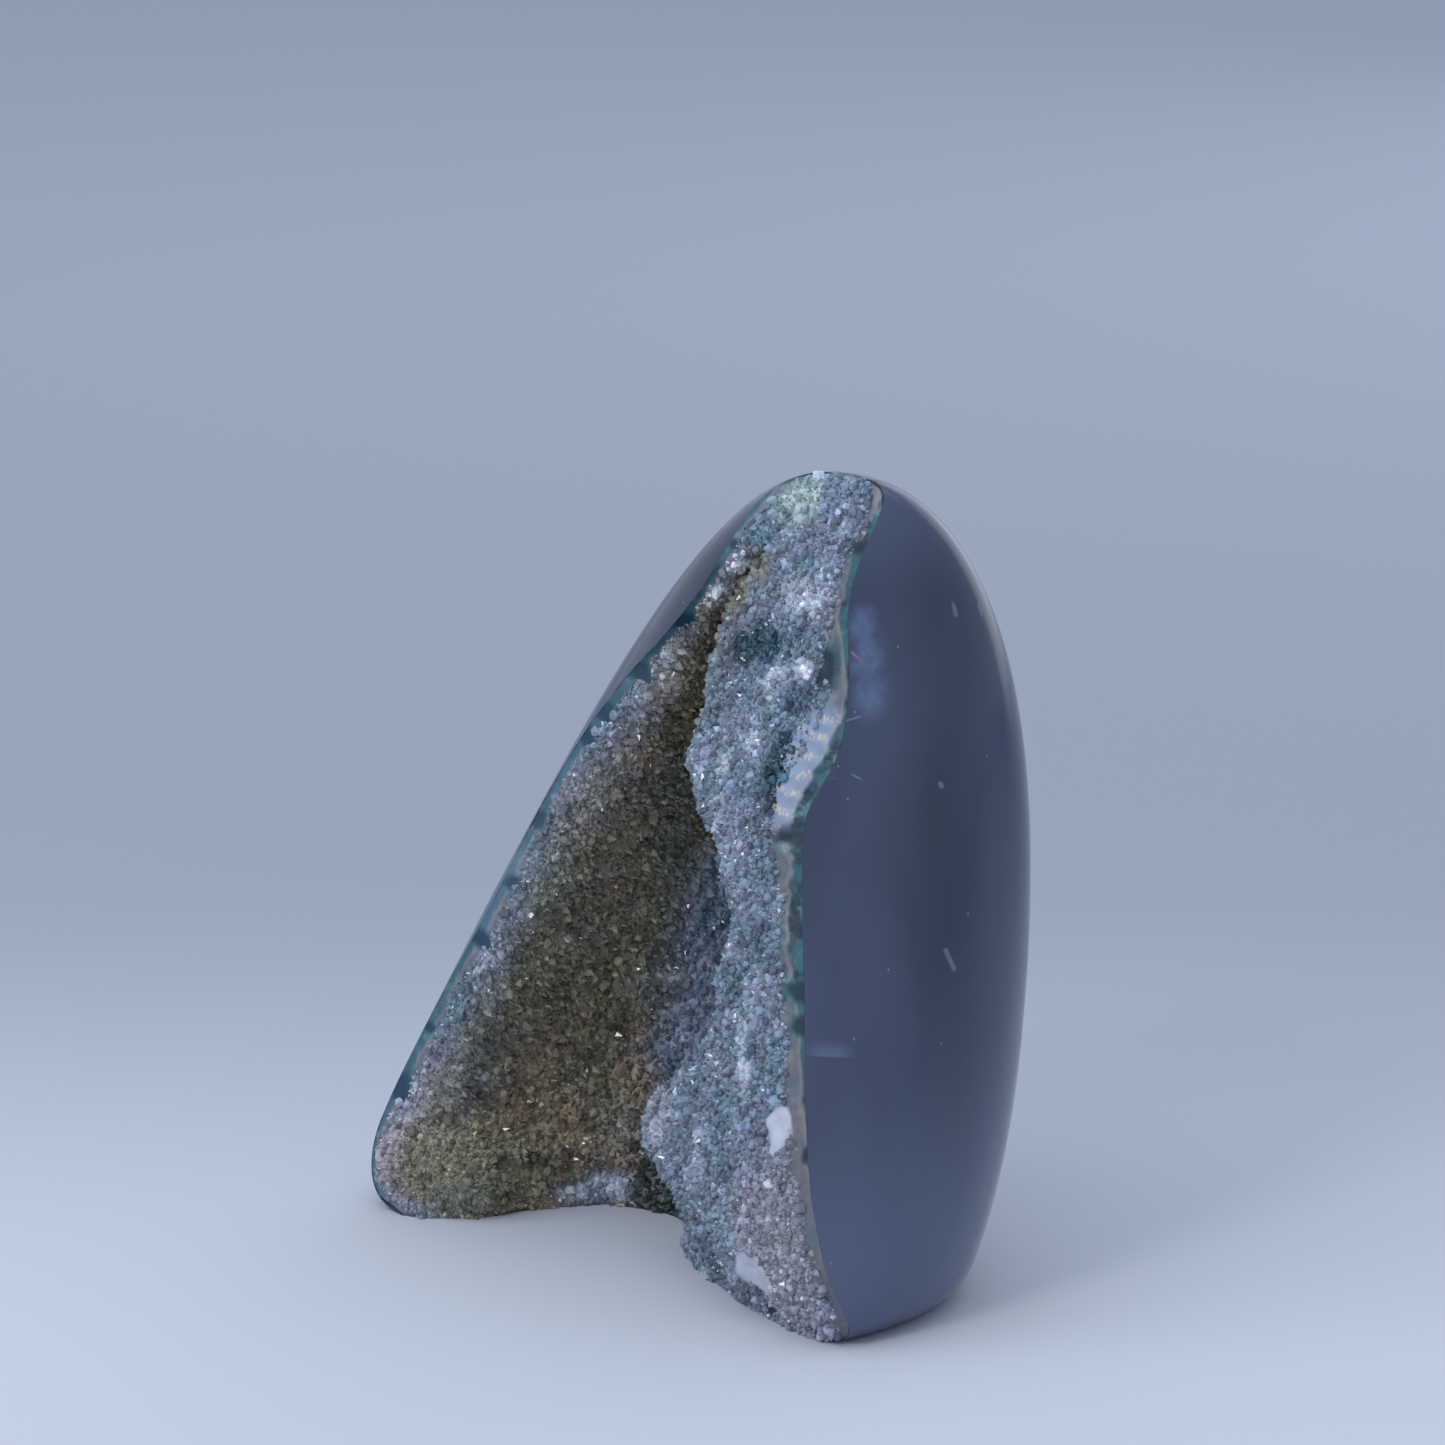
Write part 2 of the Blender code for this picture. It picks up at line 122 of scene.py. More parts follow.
# Lumps on the crust: across, up, radius, height
LUMPS = (
    (-0.5, 13.0, 4.5, 1.7),
    (5.5, 46.0, 2.6, 0.5),
    (7.0, 52.5, 2.2, 0.2),
    (3.0, 5.5, 3.0, -0.8),
    (17.5, 4.5, 2.2, 1.0),
    (20.0, 17.5, 1.9, 1.1),
    (12.0, 27.0, 3.0, 0.9),
    (13.0, 41.0, 2.6, -0.4),
    (16.5, 60.5, 3.2, 0.7),
    (-17.5, 4.0, 4.5, 2.0),
    (-25.5, 5.0, 3.2, 1.4),
    (-20.5, 12.5, 2.6, 1.0),
    (-17.0, 27.0, 2.4, 0.9),
    (-10.5, 40.0, 2.4, 1.0),
    (-3.0, 51.0, 1.9, 0.8),
)
# Smooth places with no crystals: across, up, half width, half height
SMOOTH_PATCHES = (
    (20.7, 48.0, 3.3, 5.6),
)
# Dark green blobs in the seam: side, up, distance in from the edge, half width, half height
BLOB_LEAN = 0.35
SEAM_BLOBS = (
    (1, 66.6, 0.7, 0.9, 0.6),
    (1, 55.9, 2.3, 0.9, 2.3),
    (1, 42.2, 0.8, 1.3, 0.8),
    (1, 30.1, 0.3, 1.2, 0.9),
    (1, 27.4, 0.2, 1.0, 0.8),
    (1, 17.2, 0.0, 0.35, 0.6),
    (-1, 64.8, 0.6, 0.6, 0.5),
    (-1, 57.4, 0.8, 1.1, 0.8),
    (-1, 52.2, 0.7, 1.1, 0.9),
    (-1, 47.9, 0.6, 1.0, 1.1),
    (-1, 45.3, 0.6, 1.0, 0.9),
    (-1, 37.1, 0.6, 0.8, 0.9),
    (-1, 31.6, 0.8, 0.8, 0.7),
    (-1, 26.4, 0.9, 1.1, 0.8),
    (-1, 17.5, 0.5, 0.6, 0.5),
    (-1, 11.4, 0.6, 1.2, 1.5),
)
# Patches on the broken face: across, up, half width, half height, strength
# Darker places: mostly darker crystals, and one of painted shade
DARK_AND_SHADE_PATCHES = (
    (9.9, 56.2, 1.6, 1.4, 0.9),
    (12.6, 57.0, 2.2, 1.8, 0.8),
    (17.4, 53.4, 2.2, 1.9, 0.9),
    (17.6, 47.6, 1.7, 3.6, 0.8),
    (14.5, 29.5, 1.8, 2.5, 0.5),
    (10.5, 3.0, 2.5, 2.5, 0.5),
    (18.6, 38.0, 1.0, 1.6, 0.5),
    # Painted shade: the recess between the left lobe and the right leg, where shade falls
    (-7.2, 2.6, 4.0, 3.2, 1.0),
    (-13.5, 5.0, 3.6, 2.4, 0.4),
)
# Paler places: mostly paler crystals, and one of painted light
PALE_AND_LIT_PATCHES = (
    (15.5, 55.0, 2.6, 1.8, 0.6),
    (12.6, 50.3, 1.8, 2.8, 0.5),
    (18.6, 55.8, 0.8, 0.9, 0.9),
    (10.8, 47.3, 1.0, 1.2, 0.6),
    (17.5, 62.0, 2.6, 2.2, 0.6),
    (19.0, 21.7, 2.0, 1.7, 0.35),
    (22.4, 3.7, 1.2, 0.7, 0.7),
    (0.3, 53.0, 2.0, 3.0, 0.7),
    (3.2, 60.6, 2.6, 2.6, 0.9),
    (-1.5, 56.0, 2.4, 2.6, 0.8),
    (0.5, 57.0, 2.0, 2.4, 0.5),
    (6.0, 63.4, 2.4, 2.2, 0.6),
    (14.2, 53.2, 2.4, 1.6, 0.45),
    # Painted light: the pale floor seen through a low gap under the back wall, left of the recess between the left
    # lobe and the right leg
    (-13.2, 1.6, 2.2, 1.3, 0.6),
)
# Smooth white lumps, and the dark green pit under the lower one
WHITE_PATCHES = (
    (24.2, 18.8, 1.25, 2.3, 1.0),
    (20.0, 4.6, 2.4, 2.3, 1.0),
)
PIT_PATCHES = (
    (20.3, 1.1, 1.0, 1.0, 1.0),
)
# Keeps the olive stain off the painted light in the gap under the back wall
CLEAR_PATCHES = (
    (-13.2, 1.4, 2.3, 1.5, 1.0),
)
MAUVE_PATCHES = (
    (24.0, 7.5, 6.5, 9.5, 0.7),
    (27.0, 17.0, 2.6, 8.0, 0.7),
    (22.2, 60.0, 2.2, 4.0, 0.6),
    (3.0, 14.0, 3.0, 3.4, 0.5),
    (-24.6, 5.5, 3.4, 4.6, 0.9),
    (-22.5, 13.0, 1.8, 4.5, 0.6),
    (-22.4, 16.6, 1.0, 1.3, 1.0),
    (-2.0, 51.0, 2.0, 3.0, 0.4),
)
OCHRE_PATCHES = (
    (10.2, 63.2, 1.8, 1.7, 0.6),
    (7.2, 60.4, 1.8, 2.2, 0.75),
    (3.8, 57.2, 1.8, 2.6, 0.7),
    (0.8, 54.0, 1.5, 2.6, 0.6),
    (-1.0, 50.4, 1.2, 3.0, 0.4),
)

AGATE_ROWS = 200
AGATE_COLUMNS = 200
BASE_ROWS = 12
# The hidden wall behind the crust lies this much deeper than the crust's own back
WALL_SUNK = 0.3
CRUST_ROWS = 272
CRUST_COLUMNS = 288
BACK_STEP = 4
EDGE_CROWDING = 0.62


def ease(t):
    """0 below 0, 1 above 1, and between them t squared times (3 - 2t)."""
    t = np.clip(t, 0.0, 1.0)
    return t * t * (3.0 - 2.0 * t)


def foot_rounding(z, height, width):
    """How far a rounded bottom edge draws in at height z: a quarter of an ellipse."""
    low = np.clip(1.0 - z / height, 0.0, 1.0)
    return width * (1.0 - np.sqrt(1.0 - low**2))


def dome_section(z):
    """Centre and half sizes of the level section: each side reaches (reach + growth h) sqrt(1 - h^power)."""
    h = np.clip(z / HEIGHT, 0.0, 1.0)
    right = APEX[0] + (RIGHT_REACH + RIGHT_GROWTH * h) * np.sqrt(1.0 - h**RIGHT_POWER)
    left = APEX[0] - (LEFT_REACH + LEFT_GROWTH * h) * np.sqrt(1.0 - h**LEFT_POWER)
    back = APEX[1] + (BACK_REACH + BACK_GROWTH * h) * np.sqrt(1.0 - h**BACK_POWER)
    front = APEX[1] - (FRONT_REACH + FRONT_GROWTH * h) * np.sqrt(1.0 - h**FRONT_POWER)
    rounding = foot_rounding(z, FOOT_HEIGHT, FOOT_WIDTH)
    right = right - foot_rounding(z, RIGHT_FOOT_HEIGHT, RIGHT_FOOT_WIDTH) - rounding / 2.0
    left = left + foot_rounding(z, LEFT_FOOT_HEIGHT, LEFT_FOOT_WIDTH)
    return (
        (right + left) / 2.0,
        (back + front) / 2.0,
        (right - left) / 2.0,
        (back - front) / 2.0 - rounding,
    )


def dome_side(z, y, side):
    """Where the superellipse section's right (+1) or left (-1) side is at height z and depth y."""
    mid_x, mid_y, half_x, half_y = dome_section(z)
    part = np.clip(np.abs((y - mid_y) / np.maximum(half_y, 0.01)), 0.0, 1.0)
    return mid_x + side * half_x * (1.0 - part**ROUNDNESS) ** (1.0 / ROUNDNESS)


def face_depths(z):
    """Depth of the broken face at its right and left edges: a leaning plane and the edges' own waves.

    The two depths become one just under the top, where the edges meet.
    """
    plane = FACE_SET_BACK + LEAN * z
    right = plane + level_value(z, RIGHT_EDGE)
    left = plane + level_value(z, LEFT_EDGE)
    join = ease((z - FACE_JOIN_FROM) / (FACE_JOIN_TO - FACE_JOIN_FROM))
    middle = (right + left) / 2.0
    return right + (middle - right) * join, left + (middle - left) * join


def level_value(z, values):
    """One of the hollow's level values at height z: cubic Hermite curves through the levels."""
    slopes = np.gradient(np.array(values), np.array(LEVELS))
    place = np.clip(np.searchsorted(LEVELS, z, side="right") - 1, 0, len(LEVELS) - 2)
    low = np.take(LEVELS, place)
    step = np.take(LEVELS, place + 1) - low
    t = np.clip((z - low) / step, 0.0, 1.0)
    start = np.take(values, place)
    end = np.take(values, place + 1)
    return (
        start * (1.0 - t) ** 2 * (1.0 + 2.0 * t)
        + end * t**2 * (3.0 - 2.0 * t)
        + np.take(slopes, place) * step * t * (1.0 - t) ** 2
        - np.take(slopes, place + 1) * step * t**2 * (1.0 - t)
    )


def find_top():
    """The height where the dome's back meets the broken face, so that the section closes."""
    z = np.linspace(HEIGHT - 4.0, HEIGHT, 8001)
    _, mid_y, _, half_y = dome_section(z)
    open_there = mid_y + half_y > face_depths(z)[0]
    return z[open_there][-1]


def blurred(points, axis, times):
    """Points averaged with their neighbours by weights 1, 2, 1 along one axis, the two ends held."""
    points = np.moveaxis(points, axis, 0).copy()
    for _ in range(times):
        points[1:-1] = (points[:-2] + 2.0 * points[1:-1] + points[2:]) / 4.0
    return np.moveaxis(points, 0, axis)


def respaced(curves, places):
    """Each row's curve sampled anew, at the given parts of its own length."""
    steps = np.linalg.norm(np.diff(curves, axis=1), axis=-1)
    length = np.concatenate([np.zeros((len(curves), 1)), np.cumsum(steps, axis=1)], 1)
    length += np.arange(length.shape[1]) * 1e-9
    rows = [
        np.stack([np.interp(places * s[-1], s, curve[:, axis]) for axis in range(curve.shape[1])], -1)
        for s, curve in zip(length, curves)
    ]
    return np.array(rows)


def noise(points, size, seed):
    """Smooth random values from -1 to 1: a lattice of random numbers `size` apart, blended by eased weights."""
    table = np.random.RandomState(seed).uniform(-1.0, 1.0, (32, 32, 32))
    place = np.asarray(points) / size
    cell = np.floor(place).astype(int)
    t = place - cell
    t = t * t * (3.0 - 2.0 * t)
    total = np.zeros(place.shape[:-1])
    for corner in np.ndindex(2, 2, 2):
        weight = np.prod(np.where(corner, t, 1.0 - t), axis=-1)
        i, j, k = np.moveaxis((cell + corner) % 32, -1, 0)
        total += weight * table[i, j, k]
    return total


def with_height(flat, z):
    """Curves in the level plane lifted to their heights."""
    lift = np.broadcast_to(z[:, None, None], (*flat.shape[:2], 1))
    return np.concatenate([flat, lift], -1)


def outer_curves(z, columns):
    """The polished skin's level curves, from the right edge round the back to the left edge.

    A point at angle a is half_x cos(a)^(2/n), half_y sin(a)^(2/n) from the section's middle.
    """
    mid_x, mid_y, half_x, half_y = (v[:, None] for v in dome_section(z))
    right_y, left_y = (v[:, None] for v in face_depths(z))

    def edge_angle(y):
        part = np.clip((y - mid_y) / np.maximum(half_y, 0.001), -1.0, 1.0)
        return np.arcsin(np.sign(part) * np.abs(part) ** (ROUNDNESS / 2.0))

    start = edge_angle(right_y)
    end = np.pi - edge_angle(left_y)
    angle = start + (end - start) * np.linspace(0.0, 1.0, 4 * columns + 1)
    across = np.sign(np.cos(angle)) * np.abs(np.cos(angle)) ** (2.0 / ROUNDNESS)
    deep = np.sign(np.sin(angle)) * np.abs(np.sin(angle)) ** (2.0 / ROUNDNESS)
    curves = np.stack([mid_x + half_x * across, mid_y + half_y * deep], -1)
    return with_height(respaced(curves, np.linspace(0.0, 1.0, columns + 1)), z)


def wall_curves(z, places):
    """The rock under the crust, level by level, from the right edge through the hollow to the left edge.

    Each curve is a band curving in to the right lip, half an ellipse, and a band out to the left edge.
    """
    right_y, left_y = face_depths(z)
    right_x = dome_side(z, right_y, 1.0)
    left_x = dome_side(z, left_y, -1.0)
    right_lip = np.clip(level_value(z, RIGHT_LIP), left_x, right_x)
    left_lip = np.clip(level_value(z, LEFT_LIP), left_x, right_x)
    right_lip_y = right_y + level_value(z, RIGHT_LIP_BACK)
    left_lip_y = left_y + level_value(z, LEFT_LIP_BACK)
    closing = ease((find_top() - z) / 1.0)
    right_lip_y = right_y + (right_lip_y - right_y) * closing
    left_lip_y = left_y + (left_lip_y - left_y) * closing
    bottom = (right_y + left_y) / 2.0 + level_value(z, HOLLOW_DEPTH) * closing

    t = np.linspace(0.0, 1.0, 41)[None, :]
    band_right = np.stack([
        right_x[:, None] + (right_lip - right_x)[:, None] * t,
        right_y[:, None] + (right_lip_y - right_y)[:, None] * t**1.6,
    ], -1)
    band_left = np.stack([
        left_lip[:, None] + (left_x - left_lip)[:, None] * t,
        left_y[:, None] + (left_lip_y - left_y)[:, None] * (1.0 - t) ** 1.3,
    ], -1)
    turn = np.pi * np.linspace(0.0, 1.0, 81)[None, :]
    across = (1.0 - np.cos(turn)) / 2.0
    lip_y = right_lip_y[:, None] + (left_lip_y - right_lip_y)[:, None] * across
    pocket = np.stack([
        right_lip[:, None] + (left_lip - right_lip)[:, None] * across,
        lip_y + (bottom[:, None] - lip_y) * np.sin(turn) ** 0.9,
    ], -1)
    row = blurred(np.concatenate([band_right, pocket[:, 1:-1], band_left], 1), 1, 10)
    return with_height(respaced(row, places), z)


def grid_normals(grid):
    """Unit normals of a grid of points: the cross product of its two directions, towards the open side."""
    along = np.gradient(grid, axis=1)
    up = np.gradient(grid, axis=0)
    normal = np.cross(along, up)
    normal /= np.maximum(np.linalg.norm(normal, axis=-1, keepdims=True), 1e-9)
    return np.where(normal[20, 20, 1] > 0.0, -normal, normal)


def lump_height(points):
    """Sum of the rounded lumps, each a bell curve of the distance in the face's plane."""
    total = np.zeros(points.shape[:-1])
    for x, z, radius, height in LUMPS:
        distance = np.hypot(points[..., 0] - x, points[..., 2] - z) / radius
        total += height * np.exp(-(distance**2) * 1.4)
    return total


def smoothness(points):
    """1 in the smooth places, 0 where crystals grow."""
    most = np.zeros(points.shape[:-1])
    for x, z, half_x, half_z in SMOOTH_PATCHES:
        distance = np.hypot((points[..., 0] - x) / half_x, (points[..., 2] - z) / half_z)
        most = np.maximum(most, ease((1.25 - distance) / 0.5))
    return most


def patches(points, table, seed):
    """The strongest of a table's patches at each point: ellipses in the face's plane with ragged borders."""
    ragged = 0.25 * noise(points, 1.5, seed) + 0.15 * noise(points, 0.6, seed + 1)
    most = np.zeros(points.shape[:-1])
    for across, up, half_x, half_z, strength in table:
        distance = np.hypot((points[..., 0] - across) / half_x, (points[..., 2] - up) / half_z) + ragged
        most = np.maximum(most, strength * (1.0 - ease((distance - 0.5) / 0.9)))
    return most


class Crust:
    """The crust's front as a grid, with what the finishes and the crystals need to know at each point."""

    def __init__(self):
        rise = np.linspace(0.0, 1.0, CRUST_ROWS + 1)
        z = find_top() * rise
        u = np.linspace(0.0, 1.0, CRUST_COLUMNS + 1)
        places = u - EDGE_CROWDING * np.sin(2.0 * np.pi * u) / (2.0 * np.pi)
        self.wall = blurred(wall_curves(z, places), 0, 3)
        steps = np.linalg.norm(np.diff(self.wall, axis=1), axis=-1)
        length = np.concatenate([np.zeros((len(z), 1)), np.cumsum(steps, axis=1)], 1)
        whole = length[:, -1:]
        self.from_right = length
        self.from_left = whole - length
        self.from_edge = np.minimum(self.from_right, self.from_left)
        self.side = np.where(self.from_right < self.from_left, 1.0, -1.0)
        right_y, left_y = (v[:, None] for v in face_depths(z))
        self.inside = self.wall[..., 1] - (right_y + left_y) / 2.0
        self.z = np.broadcast_to(z[:, None], self.from_edge.shape)
        self.bare = np.where(
            self.side > 0.0, level_value(self.z, RIGHT_BARE), level_value(self.z, LEFT_BARE)
        )
        self.bare = self.bare * (1.0 + 0.35 * noise(self.wall, 2.3, SEED + 1))
        self.seam = np.where(
            self.side > 0.0, level_value(self.z, RIGHT_SEAM), level_value(self.z, LEFT_SEAM)
        )
        self.raise_front()

    def raise_front(self):
        """Moves the wall out along its normals by the crust's thickness, its lumps and its rough relief."""
        wall = self.wall
        normals = blurred(blurred(grid_normals(wall), 0, 6), 1, 6)
        u_edge = ease(self.from_edge / 9.0)
        crevice = ease((self.z - CREVICE_FROM) / 8.0)
        deep = CRUST_THICKNESS + (CREVICE_THICKNESS - CRUST_THICKNESS) * crevice
        thickness = CRUST_EDGE + (deep - CRUST_EDGE) * u_edge
        rise = ease(self.from_edge / EDGE_RISE)
        rough = (1.0 - 0.85 * smoothness(wall)) * ease((self.from_edge - 0.4) / 1.2)
        relief = 0.34 * noise(wall, 3.1, SEED + 2) + 0.24 * noise(wall, 1.35, SEED + 3)
        relief += 0.14 * noise(wall, 0.62, SEED + 4)
        relief += 0.4 * noise(wall, 5.0, SEED + 19) * ease((self.inside - 2.0) / 4.0)
        ripple = 0.07 * np.sin(2.0 * np.pi * (wall[..., 2] + 0.3 * wall[..., 0]) / 1.7)
        thickness = rise * (thickness + lump_height(wall)) + rough * relief
        thickness += ripple * smoothness(wall) * rise
        front = wall + normals * np.maximum(thickness, 0.3 * rise)[..., None]
        foremost = CAD_BOX[0][1] / MM + MIDDLE[1] + CRYSTAL_ROOM
        front[..., 1] = np.maximum(front[..., 1], foremost)
        front[..., 2] = np.clip(front[..., 2], 0.0, None)
        front[0, :, 2] = 0.0
        front[-1] = wall[-1]
        self.front = front
        self.normals = blurred(blurred(grid_normals(front), 0, 2), 1, 2)
        self.layers = self.find_layers()

    def find_layers(self):
        """Where each layer of the stone shows, as numbers from 0 to 1 at each point of the front."""
        points = self.front
        ragged = self.from_edge + 0.25 * noise(points, 1.6, SEED + 5) + 0.2 * noise(points, 0.6, SEED + 6)
        ragged = ragged + 0.4 * noise(points, 4.5, SEED + 21)
        seam = 1.0 - ease((ragged - self.seam) / 0.35)
        line = ease((ragged - self.seam) / 0.3) * (1.0 - ease((ragged - self.seam - 0.35) / 0.3))
        blob = np.zeros(seam.shape)
        halo = np.zeros(seam.shape)
        for side, up, inward, half_width, half_height in SEAM_BLOBS:
            leaning = self.from_edge - inward + BLOB_LEAN * (self.z - up)
            distance = np.hypot(leaning / half_width, (self.z - up) / half_height)
            distance = distance + 0.3 * noise(points, 0.9, SEED + 7)
            there = self.side == side
            blob = np.maximum(blob, there * (1.0 - ease((distance - 0.6) / 0.65)))
            halo = np.maximum(halo, there * (1.0 - ease((distance - 1.2) / 0.7)))
        face = 1.0 - ease((self.inside - 6.0) / 3.0)
        tone = 0.18 * noise(points, 4.2, SEED + 10) + 0.16 * noise(points, 1.7, SEED + 11)
        shown = np.maximum(face, (points[..., 2] < 6.0) | (points[..., 2] > 48.0))
        # The light layer: darker and paler crystals and random tone, with the painted shade and painted light of the
        # patch tables
        light = patches(points, PALE_AND_LIT_PATCHES, SEED + 12) - patches(points, DARK_AND_SHADE_PATCHES, SEED + 14)
        light = 0.5 + 0.5 * shown * light + tone
        return {
            "seam": np.maximum(seam, halo * 0.8),
            "line": line * (0.25 + 0.75 * halo) * (1.0 - blob),
            "blob": np.maximum(blob, patches(points, PIT_PATCHES, SEED + 28)),
            "white": ease(3.0 * patches(points, WHITE_PATCHES, SEED + 29) - 0.8),
            "band": 1.0 - ease((ragged - self.bare) / 1.0),
            "stain": self.stain(),
            "ochre": patches(points, OCHRE_PATCHES, SEED + 16),
            "mauve": face * patches(points, MAUVE_PATCHES, SEED + 18),
            "light": np.clip(light, 0.0, 1.0),
            "smooth": smoothness(points),
        }

    def stain(self):
        """Olive brown of the hollow: on its left and back walls, on the left arm, and in the crevice."""
        x, _, z = np.moveaxis(self.front, -1, 0)
        cloudy = 0.2 * noise(self.front, 6.0, SEED + 8) + 0.12 * noise(self.front, 2.2, SEED + 9)
        edge = np.interp(z, STAIN_HEIGHTS, STAIN_EDGE)
        left_of_edge = ease((edge - x) / 4.0 + 0.5)
        hollow = ease((self.inside - 1.0) / 5.0) * left_of_edge
        arm = 0.8 * ease((self.from_left - 1.5) / 3.5) * ease((x + 2.0) / -6.0) * left_of_edge
        crevice = 0.3 * ease((z - 48.0) / 8.0) * ease((66.0 - z) / 4.0) * ease((self.inside - 0.6) / 2.5)
        brown = np.maximum(np.maximum(hollow, arm), crevice) * (1.0 + cloudy) + 0.3 * cloudy
        return np.clip(brown, 0.0, 1.0) * (1.0 - patches(self.front, CLEAR_PATCHES, SEED + 27))


def grid_faces(rows, columns, closed=False):
    """Index quads of a grid of rows by columns; a closed one joins its last column to its first."""
    index = np.arange(rows * columns).reshape(rows, columns)
    if closed:
        index = np.concatenate([index, index[:, :1]], 1)
    return np.stack([index[:-1, :-1], index[:-1, 1:], index[1:, 1:], index[1:, :-1]], -1).reshape(-1, 4)


def make_mesh(name, points, faces, values=None):
    """A mesh in the frame's metres, from points in millimetres and index arrays of its faces."""
    low, high = (np.array(corner) for corner in CAD_BOX)
    mesh = bpy.data.meshes.new(name)
    mesh.vertices.add(len(points))
    mesh.vertices.foreach_set("co", np.clip((points - MIDDLE) * MM, low, high).ravel())
    corners = np.concatenate([face.ravel() for face in faces])
    sizes = np.concatenate([np.full(len(face), face.shape[1]) for face in faces])
    mesh.loops.add(len(corners))
    mesh.loops.foreach_set("vertex_index", corners.astype(np.int32))
    mesh.polygons.add(len(sizes))
    mesh.polygons.foreach_set("loop_start", (np.cumsum(sizes) - sizes).astype(np.int32))
    for label, numbers in (values or {}).items():
        layer = mesh.attributes.new(label, "FLOAT", "POINT")
        layer.data.foreach_set("value", np.ravel(numbers).astype(np.float32))
    mesh.update(calc_edges=True)
    return mesh


def close_mesh(mesh):
    """Merges the points that meet in seams and poles, and turns the faces outwards."""
    work = bmesh.new()
    work.from_mesh(mesh)
    bmesh.ops.remove_doubles(work, verts=work.verts, dist=2e-7)
    bmesh.ops.dissolve_degenerate(work, edges=work.edges, dist=1e-7)
    bmesh.ops.recalc_face_normals(work, faces=work.faces)
    work.to_mesh(mesh)
    work.free()


def make_piece(name, mesh, material, nodes=()):
    """A finished piece: its object at the origin, with its finish, riding on the stone."""
    piece = bpy.data.objects.new(name, mesh)
    bpy.context.scene.collection.objects.link(piece)
    mesh.materials.append(material)
    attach(piece, "root")
    if nodes:
        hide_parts(*nodes)
    return piece


def agate_mesh():
    """The polished skin, the hidden wall behind the crust and the flat base, as one closed body.

    The base is ruled: straight lines join the skin's bottom curve to the wall's bottom curve.
    """
    t = np.linspace(0.0, 1.0, AGATE_ROWS + 1)
    z = find_top() * (0.35 * t**2 + 0.65 * (1.0 - (1.0 - t) ** 1.6))
    skin = outer_curves(z, AGATE_COLUMNS)
    places = np.linspace(0.0, 1.0, AGATE_COLUMNS + 1)
    wall = wall_curves(z, places)
    sunk = WALL_SUNK * ease(np.minimum(places, 1.0 - places) / 0.03) * ease((find_top() - z) / 2.0)[:, None]
    wall = wall - grid_normals(wall) * sunk[..., None] * (1.0, 1.0, 0.0)
    ring = np.concatenate([skin, wall[:, ::-1][:, 1:-1]], 1)
    blend = np.linspace(0.0, 1.0, BASE_ROWS + 1)[:, None, None]
    base = skin[0] + (wall[0] - skin[0]) * blend
    faces = [
        grid_faces(*ring.shape[:2], closed=True),
        grid_faces(*base.shape[:2]) + ring.shape[0] * ring.shape[1],
    ]
    points = np.concatenate([ring.reshape(-1, 3), base.reshape(-1, 3)])
    layer = np.concatenate([
        np.zeros(ring.shape[0] * ring.shape[1]),
        np.broadcast_to(blend[..., 0], base.shape[:2]).ravel(),
    ])
    mesh = make_mesh("agate_body", points, faces, {"layer": layer})
    close_mesh(mesh)
    mesh.shade_smooth()
    mesh.set_sharp_from_angle(angle=np.radians(35.0))
    return mesh


def crust_mesh(crust):
    """The crust as one closed body: a fine front, and a coarse back that shares every fourth edge point."""
    front = crust.front
    rows, columns = front.shape[:2]
    index = np.arange(rows * columns).reshape(rows, columns)
    back = crust.wall[::BACK_STEP, ::BACK_STEP]
    back_index = index[::BACK_STEP, ::BACK_STEP].copy()
    inner = back[1:-1, 1:-1].reshape(-1, 3)
    back_index[1:-1, 1:-1] = rows * columns + np.arange(len(inner)).reshape(back[1:-1, 1:-1].shape[:2])
    back_faces = np.stack(
        [back_index[:-1, :-1], back_index[1:, :-1], back_index[1:, 1:], back_index[:-1, 1:]], -1
    ).reshape(-1, 4)
    border = np.concatenate([index[0, :-1], index[:-1, -1], index[-1, :0:-1], index[:0:-1, 0]])
    around = np.arange(0, len(border), BACK_STEP)[:, None] + np.arange(BACK_STEP + 1)
    strips = border[around % len(border)][:, ::-1]
    values = {
        label: np.concatenate([numbers.ravel(), np.zeros(len(inner))])
        for label, numbers in crust.layers.items()
    }
    points = np.concatenate([front.reshape(-1, 3), inner])
    mesh = make_mesh("crust", points, [grid_faces(rows, columns), back_faces, strips], values)
    close_mesh(mesh)
    mesh.shade_smooth()
    return mesh


def scatter(crust, spacing, keep, rng):
    """Random places on the crust's front, at most one in each cube of the given spacing.

    keep gives the chance from 0 to 1 at each grid point. The result is rows, columns and their parts.
    """
    front = crust.front
    edge_a = front[1:, :-1] - front[:-1, :-1]
    edge_b = front[:-1, 1:] - front[:-1, :-1]
    area = np.linalg.norm(np.cross(edge_a, edge_b), axis=-1)
    chance = (area * keep[:-1, :-1]).ravel()
    count = int(chance.sum() * 8.0 / spacing**2)
    cell = rng.choice(len(chance), size=count, p=chance / chance.sum())
    row, column = np.divmod(cell, front.shape[1] - 1)
    place = (row, column, rng.uniform(size=count), rng.uniform(size=count))
    points = sampled(front, place)
    cube = np.floor(points / spacing).astype(int)
    _, first = np.unique(cube, axis=0, return_index=True)
    first = np.sort(first)
    return tuple(part[first] for part in place)


def sampled(values, place):
    """Values of a grid at places between its points, weighted by nearness in both directions."""
    row, column, up, along = place
    if values.ndim == 3:
        up, along = up[:, None], along[:, None]
    low = values[row, column] * (1.0 - along) + values[row, column + 1] * along
    high = values[row + 1, column] * (1.0 - along) + values[row + 1, column + 1] * along
    return low * (1.0 - up) + high * up


def unit(vectors):
    """Vectors scaled to length 1."""
    return vectors / np.maximum(np.linalg.norm(vectors, axis=-1, keepdims=True), 1e-9)


